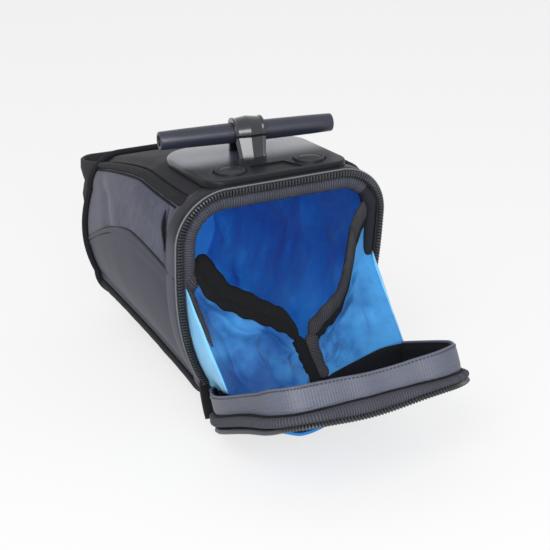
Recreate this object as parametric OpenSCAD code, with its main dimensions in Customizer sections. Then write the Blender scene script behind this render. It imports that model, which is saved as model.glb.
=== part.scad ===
// Under-saddle bag with a T-bar clip and a zipped lid, shown with the lid open.
// +Z is up, X runs across the bag and +Y runs from the mouth towards the nose.
// The origin is the centre of the clip plate's top face, under the T-bar.

/* [Clip plate] */
// Width of the clip plate
plate_w = 68; // [60:1:72]
// Reach of the plate from the T-bar towards the mouth
plate_front = 33.5; // [29:0.5:34]
// Reach of the plate from the T-bar towards the nose
plate_back = 24; // [20:1:36]
// Thickness of the plate
plate_t = 3; // [2.6:0.1:4]
// Radius of the plate's corners at the mouth
plate_front_r = 8; // [4:1:12]
// Radius of the plate's corners at the nose
plate_back_r = 16; // [8:1:20]
// Width of the plate's bevelled rim
plate_rim = 0.8; // [0.4:0.1:1.2]
// Diameter of the two rivet caps
cap_d = 13; // [10:0.5:15]
// Height of the rivet caps above the plate
cap_h = 1.2; // [0.8:0.1:2]
// Distance between the two rivet caps
cap_gap = 38; // [34:1:44]
// Distance from the T-bar to the rivet caps
cap_y = 22.5; // [20:0.5:23]
// Diameter of the rivet shanks
rivet_d = 5; // [4:0.5:6]
// Diameter of the rivet heads in the stiffener board
rivet_head_d = 9; // [8:0.5:11]
// Width of the bare recess at the plate's front edge
recess_w = 24; // [18:1:26]
// Length of that recess
recess_l = 14; // [10:1:18]
// Depth of that recess
recess_t = 0.6; // [0.3:0.1:1]

/* [T-bar] */
// Length of the T-bar
bar_l = 80; // [70:1:100]
// Diameter of the T-bar at its middle
bar_d = 9; // [8:0.5:10]
// Diameter of the T-bar at its ends
bar_end_d = 8; // [7.5:0.5:10]
// Diameter of the hollow in each end
bar_bore_d = 4.8; // [3:0.2:6]
// Depth of the hollow in each end
bar_bore_l = 12; // [6:1:20]
// Height of the T-bar's axis above the plate
bar_z = 10; // [9.5:0.5:12]
// How far the clip is turned from straight across the bag
clip_turn = -8; // [-20:1:20]
// Width of the strap loop along the T-bar
loop_w = 12; // [8:1:14]
// Thickness of the strap loop
loop_t = 2; // [1.5:0.1:2.5]
// Spread of the strap loop's feet
foot_spread = 17.6; // [16:0.2:18.4]
// Diameter of the swivel disc that holds the feet
disc_d = 23; // [22.5:0.5:25]
// Width of the lip that keeps the disc in the plate
disc_lip = 2; // [1.5:0.5:3]

/* [Bag] */
// Distance from the T-bar to the mouth's top edge
mouth_y = 36; // [35.5:0.5:42]
// Width of the mouth
mouth_w = 100; // [94:1:110]
// Width of the mouth at its base
mouth_base_w = 76; // [68:1:84]
// Height of the mouth
mouth_h = 101; // [94:1:112]
// How far the mouth's base stands out past its top; below 0, how far it stands back
mouth_lean = -14; // [-18:1:-8]
// Distance from the T-bar to the start of the rounded nose
nose_y = 114; // [104:1:140]
// Width of the nose under its top corners
nose_w = 69; // [64:1:84]
// Width of the nose at its base
nose_base_w = 68; // [62:1:84]
// How far the top falls towards the nose
nose_drop = 22; // [16:1:30]
// How far the base rises towards the nose
nose_lift = 4; // [0:1:10]
// Radius of the nose's edge
nose_r = 6; // [5:0.5:9]
// Corner radius at the top of the mouth
corner_r = 23; // [18:1:25]
// Corner radius at the top of the nose
nose_corner_r = 16; // [14:1:20]
// Corner radius at the base of the mouth
base_r = 11; // [10.5:0.5:13]
// Corner radius at the base of the nose
nose_base_r = 14; // [11:1:18]
// How far the flanks swell
flank_bulge = 4.5; // [2:0.5:7]
// Thickness of the outer cloth with its coating
panel_t = 1.4; // [1.2:0.1:1.6]
// Thickness of the foam or board under the cloth
core_t = 1; // [0.8:0.1:1.2]
// Thickness of the lining
lining_t = 0.7; // [0.5:0.1:0.9]
// Width of the piping over the seams
piping_w = 3; // [2:0.5:4]
// Height of the piping over the seams
piping_h = 1.5; // [1:0.1:2]

/* [Zip] */
// Width of the zip tape that shows at the rim
tape_w = 3.2; // [2.8:0.1:3.3]
// Thickness of the zip tape
tape_t = 0.7; // [0.5:0.1:0.9]
// Distance from tooth to tooth
tooth_pitch = 2; // [1.8:0.1:3]
// Length of a tooth along the zip
tooth_l = 1.1; // [0.8:0.1:1.3]
// Width of a tooth across the rim
tooth_w = 2.4; // [2:0.1:2.6]
// Height of a tooth
tooth_h = 1.8; // [1.4:0.1:2]
// Radius of the binding rolls inside the zip
roll_r = 2.4; // [1.6:0.1:2.8]
// Length of the slider
slider_l = 7; // [6:0.5:7.5]
// Length of the puller
puller_l = 15; // [12:1:20]
// Width of the puller
puller_w = 4; // [3:0.5:6]

/* [Lid] */
// Angle from the closed lid to the open lid
open_angle = 62; // [54:1:70]
// Height of the standing band inside the lid
band_h = 13.5; // [10:0.5:18]
// Thickness of the standing band
band_t = 1.4; // [1:0.1:1.6]
// How far the lid's outer panel swells
lid_bulge = 6.5; // [6.5:0.5:11]
// Width of the webbing loop on the lid
web_w = 18; // [12:1:24]
// Thickness of the webbing
web_t = 1.4; // [1:0.1:2]
// Room under the webbing loop
web_gap = 5.5; // [5:0.5:8]
// Length of the webbing loop across the lid
web_l = 56; // [48:1:60]

/* [Gussets and strap] */
// Thickness of the gusset cloth
gusset_t = 0.8; // [0.5:0.1:1]
// Radius of the gussets' bound edges
bound_r = 1.6; // [1:0.1:2]
// Distance from the lid's hinge out to where the bound edges meet
fork_reach = 23; // [18:1:28]
// Height of that point above the hinge
fork_rise = 35; // [30:1:40]
// Distance along the lid from the hinge to the lower end of the bound edges
stem_up = 41; // [34:1:48]
// Width of the seatpost strap
strap_w = 24; // [16:1:30]
// Thickness of the seatpost strap
strap_t = 2; // [1.5:0.1:3]
// Length of the strap's loop across the nose
strap_span = 76; // [66:1:84]
// Depth of the strap's loop
strap_depth = 20; // [16:1:30]

/* [Hidden] */

// Clearances: turning fits, plies of cloth that lie on each other, and pieces that pass each other
turn_gap = 0.05;
ply_gap = 0.1;
pass_gap = 0.4;

// Depths of the plies under the bag's skin
core_d = panel_t + 2 * ply_gap;
lining_d = core_d + core_t + ply_gap;
inside_d = lining_d + lining_t;

// Insets from the rim of the mouth
roll_d = inside_d + 2 * ply_gap + roll_r;
band_d = roll_d + roll_r + pass_gap;
tooth_d = (tape_w - tooth_w) / 2;

// Distances in front of the mouth, with the lid closed
mouth_tooth_f = tape_t + ply_gap;
lid_tooth_f = mouth_tooth_f + tooth_h + pass_gap;
lid_tape_f = lid_tooth_f + tooth_h + ply_gap;
lid_f = lid_tape_f + tape_t + ply_gap;
hinge_r = 1.2;
hinge_gap = 0.2;
hinge_f = lid_f - hinge_r - hinge_gap;

top_z = -plate_t;
base_z = top_z - mouth_h;
hinge = [0, -mouth_y - mouth_lean - hinge_f, base_z];
slope_lead = 6;
slope_y = plate_back - slope_lead;

// The band's free edge leans in just enough to swing past the binding roll at the mouth's top
roll_swing = norm([roll_r / 2 - mouth_y - hinge.y, top_z - roll_d - hinge.z]) - roll_r - pass_gap;
band_foot_f = lid_f - ply_gap;
edge_y = band_h - band_foot_f - mouth_y - hinge.y;
band_draft = max(0, top_z - band_d - hinge.z - sqrt(roll_swing * roll_swing - edge_y * edge_y));

// The skin's parameter u runs 0 to 1 along half the top, to 2 round the top corner, to 3 down the
// flank, to 4 round the base corner and to 5 along half the base; 5 to 10 is the left half.
seam_u = 1.47;
base_seam_u = 3.5;
zip_end_u = 3.05;
slider_u = 3.32;
roll_end_u = 3.6;
HALF = concat(
    [0], [for (i = [0:4]) 1 + i / 5], [for (i = [0:5]) 2 + i / 6], [for (i = [0:3]) 3 + i / 4], [4, 5]);
RIGHT_LEFT = concat(HALF, [for (i = [len(HALF) - 2:-1:1]) 10 - HALF[i]]);
GRID = concat([for (u = RIGHT_LEFT) u - 10], RIGHT_LEFT);

function mix(a, b, s) = a + (b - a) * s;
function ease(s) = 1 - (1 - s) * (1 - s);
function share(y) = min(1, max(0, (y + mouth_y) / (nose_y + mouth_y)));
function fall(y) = nose_drop * pow(max(0, (min(y, nose_y) - slope_y) / (nose_y - slope_y)), 1.25);
function span(a, b, n) = [for (i = [0:n]) mix(a, b, i / n)];
function between(a, b) = concat([a], [for (u = GRID) if (u > a + 0.01 && u < b - 0.01) u], [b]);

// Half of the bag's outline across X and Z at a station y, moved in by d
function half_outline(u, y, d) =
    let (s = share(y), e = ease(s), zt = top_z - fall(y), zb = base_z + nose_lift * s,
         wt = mix(mouth_w, nose_w, s * s) / 2, wb = mix(mouth_base_w, nose_base_w, e) / 2,
         rt = mix(corner_r, nose_corner_r, s), rb = mix(base_r, nose_base_r, s), f = u - 2)
    u < 1 ? [(wt - rt) * u, zt - d] :
    u < 2 ? [wt - rt + (rt - d) * cos(90 * (2 - u)), zt - rt + (rt - d) * sin(90 * (2 - u))] :
    u < 3 ? [mix(wt, wb, f * f * f) + 4 * flank_bulge * e * f * (1 - f) - d, mix(zt - rt, zb + rb, f)] :
    u < 4 ? [wb - rb + (rb - d) * cos(90 * (u - 3)), zb + rb - (rb - d) * sin(90 * (u - 3))] :
    [(wb - rb) * (5 - u), zb + d];
function outline(u, y, d) =
    let (w = (u + 10) % 10, q = half_outline(w <= 5 ? w : 10 - w, y, d))
    [w <= 5 ? q.x : -q.x, q.y];

// A point of the skin, d deep; the mouth's base stands back from its top
function skin(u, y, d) =
    let (q = outline(u, y, d), s = share(y))
    [q.x, y + mouth_lean * (q.y - top_z) / mouth_h * (1 - s) * (1 - s), q.y];
// A point on the mouth's rim, inset from its edge and in front of it
function rim(u, inset, front) = skin(u, -mouth_y, inset) - [0, front, 0];

// The arched seam between the side panel and the smooth lower panel
arch_top_u = 2.15;
arch_top_share = 0.28;
arch_bow = 0.78;
function arch_u(y) = arch_top_u + arch_bow * pow(share(y) - arch_top_share, 2);
STATIONS = concat(span(-mouth_y, slope_y, 4), [for (y = span(slope_y, nose_y, 7)) if (y > slope_y + 1) y]);
TURN = [0, 30, 60, 90];

function quad(a, b, c, d) = [[a, b, c], [a, c, d]];
function flat(list) = [for (part = list) each part];

// A closed ply between two grids of points; wrapped where its columns go all the way round,
// and with a tip where its last row closes
module ply(outer, inner, wrapped = false, tips = []) {
    rows = len(outer);
    cols = len(outer[0]);
    last = cols - (wrapped ? 1 : 2);
    tip_o = 2 * rows * cols;
    end = rows - 1;
    function o(j, i) = j * cols + i % cols;
    function n(j, i) = rows * cols + o(j, i);
    points = concat(flat(outer), flat(inner), tips);
    faces = concat(
        flat([for (j = [0:end - 1]) for (i = [0:last])
            quad(o(j, i), o(j + 1, i), o(j + 1, i + 1), o(j, i + 1))]),
        flat([for (j = [0:end - 1]) for (i = [0:last])
            quad(n(j, i), n(j, i + 1), n(j + 1, i + 1), n(j + 1, i))]),
        flat([for (i = [0:last]) quad(o(0, i), o(0, i + 1), n(0, i + 1), n(0, i))]),
        len(tips) == 0
            ? flat([for (i = [0:last]) quad(o(end, i + 1), o(end, i), n(end, i), n(end, i + 1))])
            : flat([for (i = [0:last]) [[o(end, i), tip_o, o(end, i + 1)],
                                        [n(end, i + 1), tip_o + 1, n(end, i)]]]),
        wrapped ? [] : flat([for (j = [0:end - 1]) concat(
            quad(o(j + 1, 0), o(j, 0), n(j, 0), n(j + 1, 0)),
            quad(o(j + 1, cols - 1), n(j + 1, cols - 1), n(j, cols - 1), o(j, cols - 1)))]));
    polyhedron(points, faces);
}

// A panel of the skin between two depths; each station has its own row of u
module panel(rows, ys, lo, hi) {
    ply([for (j = [0:len(ys) - 1]) [for (u = rows[j]) skin(u, ys[j], lo)]],
        [for (j = [0:len(ys) - 1]) [for (u = rows[j]) skin(u, ys[j], hi)]]);
}

// The same row of u at every station
module band_panel(us, ys, lo, hi) {
    panel([for (y = ys) us], ys, lo, hi);
}

// A solid swept through rings of points that turn the same way round the path
module sweep(rings) {
    m = len(rings[0]);
    k = len(rings) - 1;
    faces = concat(
        flat([for (j = [0:k - 1]) for (i = [0:m - 1])
            quad(j * m + i, (j + 1) * m + i, (j + 1) * m + (i + 1) % m, j * m + (i + 1) % m)]),
        [for (i = [1:m - 2]) [0, i, i + 1]],
        [for (i = [1:m - 2]) [k * m, k * m + i + 1, k * m + i]]);
    polyhedron(flat(rings), faces);
}

// A section of [inset, front] points swept along the mouth's rim
module rim_sweep(us, section) {
    sweep([for (u = us) [for (q = section) rim(u, q.x, q.y)]]);
}
function rim_box(d0, d1, f0, f1) = [[d1, f1], [d1, f0], [d0, f0], [d0, f1]];
function rim_round(d, f, r, n) = [for (i = [0:n - 1]) [d - r * sin(360 * i / n), f - r * cos(360 * i / n)]];

// A round tube along a path that stays in planes across a fixed direction
module tube(path, r, n = 8) {
    last = len(path) - 1;
    sweep([for (k = [0:last])
        let (t = path[min(k + 1, last)] - path[max(k - 1, 0)], w = t / norm(t),
             side = cross(w, [0, 0, 1]), a = side / norm(side), b = cross(w, a))
        [for (i = [0:n - 1]) path[k] + r * (cos(360 * i / n) * a + sin(360 * i / n) * b)]]);
}

// Steps of u at even distances along the rim, from one end of the zip to the other
ZIP_FINE = span(-zip_end_u, zip_end_u, 120);
function run_lengths(us, i = 1, total = 0) =
    i == len(us) ? [[total, us[i - 1]]] :
    let (step = norm(rim(us[i], 0, 0) - rim(us[i - 1], 0, 0)))
    concat([[total, us[i - 1]]], run_lengths(us, i + 1, total + step));
ZIP_RUN = run_lengths(ZIP_FINE);
zip_l = ZIP_RUN[len(ZIP_RUN) - 1][0];
teeth = floor(zip_l / tooth_pitch);
module zip_teeth(front, shift) {
    for (i = [0:teeth - 2]) {
        at = (i + 0.5 + shift) * zip_l / teeth;
        ends = [lookup(at - tooth_l / 2, ZIP_RUN), lookup(at + tooth_l / 2, ZIP_RUN)];
        rim_sweep(ends, rim_box(tooth_d, tooth_d + tooth_w, front, front + tooth_h));
    }
}

// Turns what is drawn on the closed lid to the open lid
module opened() {
    translate(hinge) rotate([open_angle, 0, 0]) translate(-hinge) children();
}
function opened_at(p) =
    let (q = p - hinge, c = cos(open_angle), s = sin(open_angle))
    hinge + [q.x, q.y * c - q.z * s, q.y * s + q.z * c];

// The clip plate's outline, moved in by d
function arc(c, r, a0, a1, n) = [for (a = span(a0, a1, n)) c + r * [cos(a), sin(a)]];
module plate_outline(d) {
    x = plate_w / 2;
    f = plate_front_r;
    b = plate_back_r;
    polygon(concat(
        arc([x - f, f - plate_front], f - d, -90, 0, 6),
        arc([x - b, plate_back - b], b - d, 0, 90, 8),
        arc([b - x, plate_back - b], b - d, 90, 180, 8),
        arc([f - x, f - plate_front], f - d, 180, 270, 6)));
}
disc_t = 1.2;
disc_flange_t = plate_t - disc_t - 2 * ply_gap;
recess_edge = 2;
// What passes right through a wall goes past both of its faces by this much
cut = 1;
module rivet_spots() {
    for (side = [-1, 1]) translate([side * cap_gap / 2, -cap_y, 0]) children();
}
module rivet_hole(d, low, high) {
    rivet_spots() translate([0, 0, low]) cylinder(d = d, h = high - low, $fn = 48);
}

module mount_plate() {
    color("#3a3b40") difference() {
        union() {
            translate([0, 0, -plate_t]) linear_extrude(plate_t - plate_rim) plate_outline(0);
            translate([0, 0, -plate_rim]) linear_extrude(plate_rim) plate_outline(plate_rim);
        }
        translate([0, 0, -plate_t - cut]) {
            cylinder(d = disc_d + 2 * turn_gap, h = plate_t + 2 * cut, $fn = 64);
            cylinder(d = disc_d + 2 * disc_lip + 2 * turn_gap, h = plate_t + cut - disc_t, $fn = 64);
        }
        rivet_hole(rivet_d + 2 * turn_gap, -plate_t - cut, cut);
        translate([0, -plate_front, -recess_t]) linear_extrude(2 * recess_t) polygon([
            [-recess_w / 2, recess_edge], [recess_w / 2, recess_edge],
            [recess_w / 3, recess_l], [-recess_w / 3, recess_l]]);
    }
}

module plate_rivets() {
    dome_r = (cap_d * cap_d / 4 + cap_h * cap_h) / (2 * cap_h);
    seat_z = top_z - panel_t;
    color("#303136") rivet_spots() {
        intersection() {
            translate([0, 0, cap_h - dome_r]) sphere(r = dome_r, $fn = 96);
            cylinder(d = cap_d, h = cap_h, $fn = 64);
        }
        translate([0, 0, seat_z - core_t]) cylinder(d = rivet_d, h = core_t - seat_z + cap_h / 4, $fn = 32);
        translate([0, 0, seat_z - core_t - ply_gap]) cylinder(d = rivet_head_d, h = core_t, $fn = 48);
    }
}

// The strap loop's feet are set into slots of the swivel disc
foot_sink = 0.9;
foot_flare = 0.2;
foot_w = loop_t + foot_flare;
module swivel_disc() {
    slot_w = foot_w + 2 * turn_gap;
    slot_l = loop_w + 2 * turn_gap;
    slot_y = (foot_spread - foot_w) / 2;
    color("#2c2d31") rotate([0, 0, clip_turn]) difference() {
        union() {
            translate([0, 0, -disc_t - ply_gap]) cylinder(d = disc_d, h = disc_t + ply_gap, $fn = 64);
            translate([0, 0, -plate_t + ply_gap])
                cylinder(d = disc_d + 2 * disc_lip, h = disc_flange_t, $fn = 64);
        }
        for (side = [-1, 1])
            translate([-slot_l / 2, side * slot_y - slot_w / 2, -foot_sink - turn_gap])
                cube([slot_l, slot_w, foot_sink + cut]);
    }
}

module strap_loop() {
    inner_r = bar_d / 2 + turn_gap;
    outer_r = inner_r + loop_t;
    rim_w = loop_w / 8;
    rim_h = loop_t / 4;
    foot = foot_spread / 2;
    module across(w) {
        rotate([90, 0, 90]) translate([0, 0, -w / 2]) linear_extrude(w) children();
    }
    module over(r0, r1) {
        translate([0, bar_z]) difference() {
            circle(r = r1, $fn = 64);
            circle(r = r0, $fn = 64);
            translate([-2 * r1, -4 * r1]) square(4 * r1);
        }
    }
    color("#1f2023") rotate([0, 0, clip_turn]) {
        across(loop_w) over(inner_r, outer_r);
        for (side = [-1, 1]) translate([side * (loop_w - rim_w) / 2, 0, 0])
            across(rim_w) over(outer_r - rim_h, outer_r + rim_h);
        for (turn = [0, 180]) rotate([0, 0, turn]) across(loop_w) polygon([
            [inner_r, bar_z], [outer_r, bar_z], [foot, 0], [foot, -foot_sink],
            [foot - foot_w, -foot_sink], [foot - foot_w, 0]]);
    }
}

module t_bar() {
    shoulder = 1;
    grip = loop_w / 2 + shoulder;
    end_r = bar_end_d / 2;
    round_r = 0.9;
    half_l = bar_l / 2;
    color("#35363b") rotate([0, 0, clip_turn]) translate([0, 0, bar_z]) rotate([0, 90, 0])
        rotate_extrude($fn = 64) polygon(concat(
        [[0, bar_bore_l - half_l], [bar_bore_d / 2, bar_bore_l - half_l], [bar_bore_d / 2, -half_l]],
        arc([end_r - round_r, round_r - half_l], round_r, -90, 0, 5),
        [[bar_d / 2, -grip], [bar_d / 2, grip]],
        arc([end_r - round_r, half_l - round_r], round_r, 0, 90, 5),
        [[bar_bore_d / 2, half_l], [bar_bore_d / 2, half_l - bar_bore_l], [0, half_l - bar_bore_l]]));
}

module top_panel() {
    color("#26272b") difference() {
        band_panel(between(-seam_u, seam_u), STATIONS, 0, panel_t);
        rivet_hole(rivet_d + 2 * turn_gap, top_z - panel_t - cut, top_z + cut);
    }
}

// Both flanks: a row from the top seam to the arch, and a row from the arch to the base seam
function on_side(us, side) = side > 0 ? us : [for (i = [len(us) - 1:-1:0]) 10 - us[i]];
module side_panel(side) {
    panel([for (y = STATIONS) on_side(span(seam_u, arch_u(y), 8), side)], STATIONS, 0, panel_t);
}
module lower_panel(side) {
    foot = span(3, base_seam_u, 2);
    rows = [for (y = STATIONS) on_side(concat(span(arch_u(y), 3, 5), [foot[1], foot[2]]), side)];
    panel(rows, STATIONS, 0, panel_t);
}
module left_side_panel() {
    color("#5d5d68") side_panel(-1);
}
module right_side_panel() {
    color("#5d5d68") side_panel(1);
}
module left_lower_panel() {
    color("#50515b") lower_panel(-1);
}
module right_lower_panel() {
    color("#50515b") lower_panel(1);
}
module bottom_panel() {
    color("#26272b") band_panel(between(base_seam_u, 10 - base_seam_u), STATIONS, 0, panel_t);
}

// The rounded nose: rings that turn in from the skin, then a flat face
function nose_rings(d) =
    [for (a = TURN) [for (u = RIGHT_LEFT)
        skin(u, nose_y + (nose_r - d) * sin(a), nose_r - (nose_r - d) * cos(a))]];
function nose_tip(d) = [0, nose_y + nose_r - d, (top_z - nose_drop + base_z + nose_lift) / 2];
module nose_panel() {
    color("#26272b") ply(nose_rings(0), nose_rings(panel_t), true, [nose_tip(0), nose_tip(panel_t)]);
}

// Raised strips over the seams, outside the skin; one step of u is a corner's quarter turn there
function corner_l(u0) = PI / 2 * (abs(u0 - 5) > 2 ? corner_r : base_r);
module seam_strip(u0) {
    half_w = piping_w / 2 / corner_l(u0);
    band_panel([u0 - half_w, u0, u0 + half_w], STATIONS, -piping_h, -ply_gap);
}
module left_piping() {
    color("#1d1e21") {
        seam_strip(10 - seam_u);
        seam_strip(10 - base_seam_u);
    }
}
module right_piping() {
    color("#1d1e21") {
        seam_strip(seam_u);
        seam_strip(base_seam_u);
    }
}
module nose_piping() {
    ends = [nose_y + ply_gap, nose_y + ply_gap + piping_w];
    function edge_d(y) = nose_r - sqrt(nose_r * nose_r - (y - nose_y) * (y - nose_y));
    function edge_ring(y, d) = [for (u = RIGHT_LEFT) skin(u, y, edge_d(y) + d)];
    color("#1d1e21")
        ply([for (y = ends) edge_ring(y, -piping_h)], [for (y = ends) edge_ring(y, -ply_gap)], true);
}

// Under the cloth: a board below the clip plate, foam in the flanks and the base
module top_stiffener() {
    color("#1a1a1c") difference() {
        band_panel([-1, 0, 1], span(-plate_front, slope_y, 3), core_d, core_d + core_t);
        rivet_hole(rivet_head_d + 2 * ply_gap, top_z - core_d - core_t - cut, top_z - core_d + cut);
    }
}
module wall_core() {
    color("#3c3c3c") band_panel(between(seam_u, 10 - seam_u), STATIONS, core_d, core_d + core_t);
}
module body_lining() {
    function rings(d) = concat([for (y = STATIONS) [for (u = RIGHT_LEFT) skin(u, y, d)]],
                               [for (j = [1:len(TURN) - 1]) nose_rings(d)[j]]);
    color("#1560b5") ply(rings(lining_d), rings(inside_d), true, [nose_tip(lining_d), nose_tip(inside_d)]);
}

module mouth_zip_tape() {
    color("#202124") rim_sweep(between(-slider_u, slider_u), rim_box(0, tape_w, 0, tape_t));
}
module mouth_zip_teeth() {
    color("#3b3c41") zip_teeth(mouth_tooth_f, 0);
}
module mouth_binding() {
    color("#2c2c31") rim_sweep(between(-roll_end_u, roll_end_u), rim_round(roll_d, -roll_r / 2, roll_r, 8));
}

// The slider waits at the lower right end of the zip, and its puller hangs outside the flank
slider_w = 6;
slider_h = 3;
slider_out = 2;
ear_t = 1.2;
bail_r = 1;
puller_t = 1.4;
eye_r = 2.4;
slider_lean = abs(mouth_lean) / mouth_h * slider_l / 2;
slider_p = rim(slider_u, 0, tape_t + ply_gap + slider_lean);
slider_c = slider_p + [slider_out - slider_w / 2, -slider_h / 2, 0];
ear_x = slider_p.x + slider_out;
bail = [ear_x + ear_t + eye_r + pass_gap / 2, slider_c.y, slider_c.z];
ear_y = puller_w / 2 + pass_gap / 2;
module zip_slider() {
    color("#1b1c1e") {
        translate(slider_c + [0, slider_h / 2, 0]) rotate([90, 0, 0]) linear_extrude(slider_h) polygon([
            [-slider_w / 2, -slider_l / 2], [slider_w / 2, -slider_l / 2], [slider_w / 2, slider_l / 4],
            [slider_w / 4, slider_l / 2], [-slider_w / 4, slider_l / 2], [-slider_w / 2, slider_l / 4]]);
        translate([ear_x - ear_t / 8, bail.y - ear_y - ear_t, bail.z - eye_r])
            cube([ear_t, 2 * (ear_y + ear_t), 2 * eye_r]);
        for (ear = [bail.y - ear_y - ear_t, bail.y + ear_y])
            translate([ear_x, ear, bail.z - bail_r]) cube([bail.x + bail_r - ear_x, ear_t, 2 * bail_r]);
        translate(bail + [0, ear_y + ear_t / 2, 0]) rotate([90, 0, 0])
            cylinder(r = bail_r, h = 2 * ear_y + ear_t, $fn = 32);
    }
}
module zip_puller() {
    color("#26272a") translate(bail + [0, puller_w / 2, 0]) rotate([90, 0, 0]) difference() {
        union() {
            cylinder(r = eye_r, h = puller_w, $fn = 48);
            translate([-puller_t / 2, -puller_l, 0]) cube([puller_t, puller_l, puller_w]);
        }
        translate([0, 0, -cut]) cylinder(r = bail_r + turn_gap, h = puller_w + 2 * cut, $fn = 32);
    }
}

// Gussets between the mouth's sides and the lid: an outer web and an inner sheet with a bound edge
sheet_top_u = 2.1;
web_top_u = 2.3;
web_end_u = 2.5;
web_foot_u = 3.25;
web_d = tape_w + 1;
web_f = max(tape_t, roll_r / 2) + 2 * ply_gap;
web_lid_d = band_d + band_draft + band_t;
web_lid_f = band_foot_f - band_h - 2 * pass_gap;
sheet_top = rim(sheet_top_u, roll_d + roll_r + bound_r, web_f + bound_r);
sheet_end = opened_at(rim(web_end_u, web_lid_d + pass_gap, web_lid_f));
fork = hinge + [bound_r + pass_gap, -fork_reach, fork_rise];
stem_lean = mouth_lean * (1 - stem_up / mouth_h);
stem = opened_at([fork.x, -mouth_y - stem_lean - lid_f + bound_r + pass_gap, base_z + stem_up]);
sheet_sag = 5;
stem_start = 0.08;
function mirrored(p, side) = [side * p.x, p.y, p.z];
function gusset_at(s, t) =
    let (sag = sheet_sag * 4 * s * (1 - s) * (1 - t))
    mix(mix(sheet_top, sheet_end, t), mix(fork, stem, t), s) - [0, 0, sag];

// The sheet keeps clear of its bound edge and of the stem
bound_gap = bound_r + 2 * gusset_t;
function sheet_s(k, t) = mix(0, 1 - bound_gap / norm(gusset_at(1, t) - gusset_at(0, t)), k);
function sheet_t(s, k) = mix(bound_gap / norm(gusset_at(s, 1) - gusset_at(s, 0)), 1, k);
function sheet_at(i, j) = let (s = sheet_s(i, j)) gusset_at(s, sheet_t(s, j));
module gusset(side) {
    up = [0, 0, gusset_t];
    steps = span(0, 1, 6);
    top = [for (j = steps) [for (i = steps) mirrored(sheet_at(i, j) + up, side)]];
    under = [for (j = steps) [for (i = steps) mirrored(sheet_at(i, j), side)]];
    ply(side > 0 ? top : under, side > 0 ? under : top);
}

// The web fans out from the hinge's corner, between the mouth's rim and the top of the lid's band
module gusset_web(side) {
    out = [gusset_t, 0, 0];
    steps = span(0, 1, 6);
    edges = [for (k = steps) [rim(mix(web_top_u, web_foot_u, k), web_d, web_f),
                              opened_at(rim(mix(web_end_u, web_foot_u, k), web_lid_d, web_lid_f))]];
    outer = [for (e = edges) [for (k = steps) mirrored(mix(e[0], e[1], k), side)]];
    inner = [for (e = edges) [for (k = steps) mirrored(mix(e[0], e[1], k) - out, side)]];
    ply(side > 0 ? inner : outer, side > 0 ? outer : inner);
}
module gusset_binding(side) {
    tube([for (s = span(stem_start, 1, 8)) mirrored(gusset_at(s, 0), side)], bound_r);
}
module gusset_stem(side) {
    tube([for (t = span(stem_start, 1, 4)) mirrored(gusset_at(1, t), side)], bound_r);
}
module left_gusset() {
    color("#2a7fcf") gusset(-1);
}
module right_gusset() {
    color("#2a7fcf") gusset(1);
}
module left_gusset_web() {
    color("#4f9fe0") gusset_web(-1);
}
module right_gusset_web() {
    color("#4f9fe0") gusset_web(1);
}
module left_gusset_binding() {
    color("#161618") {
        gusset_binding(-1);
        gusset_stem(-1);
    }
}
module right_gusset_binding() {
    color("#161618") {
        gusset_binding(1);
        gusset_stem(1);
    }
}

// The cloth fold that the lid turns on
module hinge_strip() {
    l = mouth_base_w - 2 * base_r;
    color("#232428") translate([-l / 2, hinge.y, hinge.z]) rotate([90, 0, 90]) {
        cylinder(r = hinge_r, h = l, $fn = 32);
        back = min(0, mouth_lean) * hinge_r / mouth_h;
        linear_extrude(l) polygon([[0, 0], [hinge_f, 0], [hinge_f + back, hinge_r], [0, hinge_r]]);
    }
}

strap_y = nose_y + nose_r + pass_gap;
strap_z = top_z - nose_drop - nose_corner_r;
module strap_outline(d) {
    r = strap_depth / 2 - d;
    translate([0, strap_depth / 2]) {
        square([strap_span - strap_depth, 2 * r], center = true);
        for (side = [-1, 1]) translate([side * (strap_span - strap_depth) / 2, 0]) circle(r = r, $fn = 48);
    }
}
module seatpost_strap() {
    color("#1c1d20") translate([0, strap_y, strap_z - strap_w / 2]) linear_extrude(strap_w) difference() {
        strap_outline(0);
        strap_outline(strap_t);
    }
}
module strap_keeper() {
    l = strap_span / 3;
    pad = 4;
    inner = strap_w / 2 + pass_gap;
    in_y = strap_t + 2 * pass_gap;
    out_y = in_y + web_t;
    edge = inner + web_t;
    half = [[0, inner], [0, edge + pad], [web_t, edge + pad], [web_t, edge], [out_y, edge]];
    inside = [[in_y, -inner], [in_y, inner]];
    color("#232428") translate([-l / 2, nose_y + nose_r, strap_z]) rotate([90, 0, 90]) linear_extrude(l)
        polygon(concat(half, [for (i = [len(half) - 1:-1:0]) [half[i].x, -half[i].y]], inside));
}

// The lid is drawn closed, in front of the mouth, and then opened
lid_centre = [0, -mouth_y - mouth_lean / 2, top_z - mouth_h / 2];
function lid_face(q) = lid_bulge * ease(q);
function lid_ring(q, front) = [for (u = RIGHT_LEFT) mix(rim(u, 0, 0), lid_centre, q) - [0, front, 0]];
LID_STEPS = [0, 0.12, 0.3, 0.55, 0.8];
module lid_panel() {
    edge = panel_t / (mouth_w / 2);
    tip = lid_centre - [0, lid_f + lid_bulge, 0];
    color("#4b4c55") opened() ply(
        [for (q = LID_STEPS) lid_ring(max(q, edge), lid_f + lid_face(q))],
        [for (q = LID_STEPS) lid_ring(q, lid_f + lid_face(q) + (q == 0 ? 0 : panel_t))],
        true, [tip, tip - [0, panel_t, 0]]);
}
module lid_plate(inset, front, t) {
    us = [for (u = RIGHT_LEFT) if (u != 0) u];
    sweep([for (f = [front + t, front]) [for (u = us) rim(u, inset, f)]]);
}
module lid_stiffener() {
    color("#1a1a1c") opened() lid_plate(band_d + band_t, lid_f + lining_t + ply_gap, core_t);
}
module lid_lining() {
    color("#1560b5") opened() lid_plate(band_d, lid_f, lining_t);
}
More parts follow.
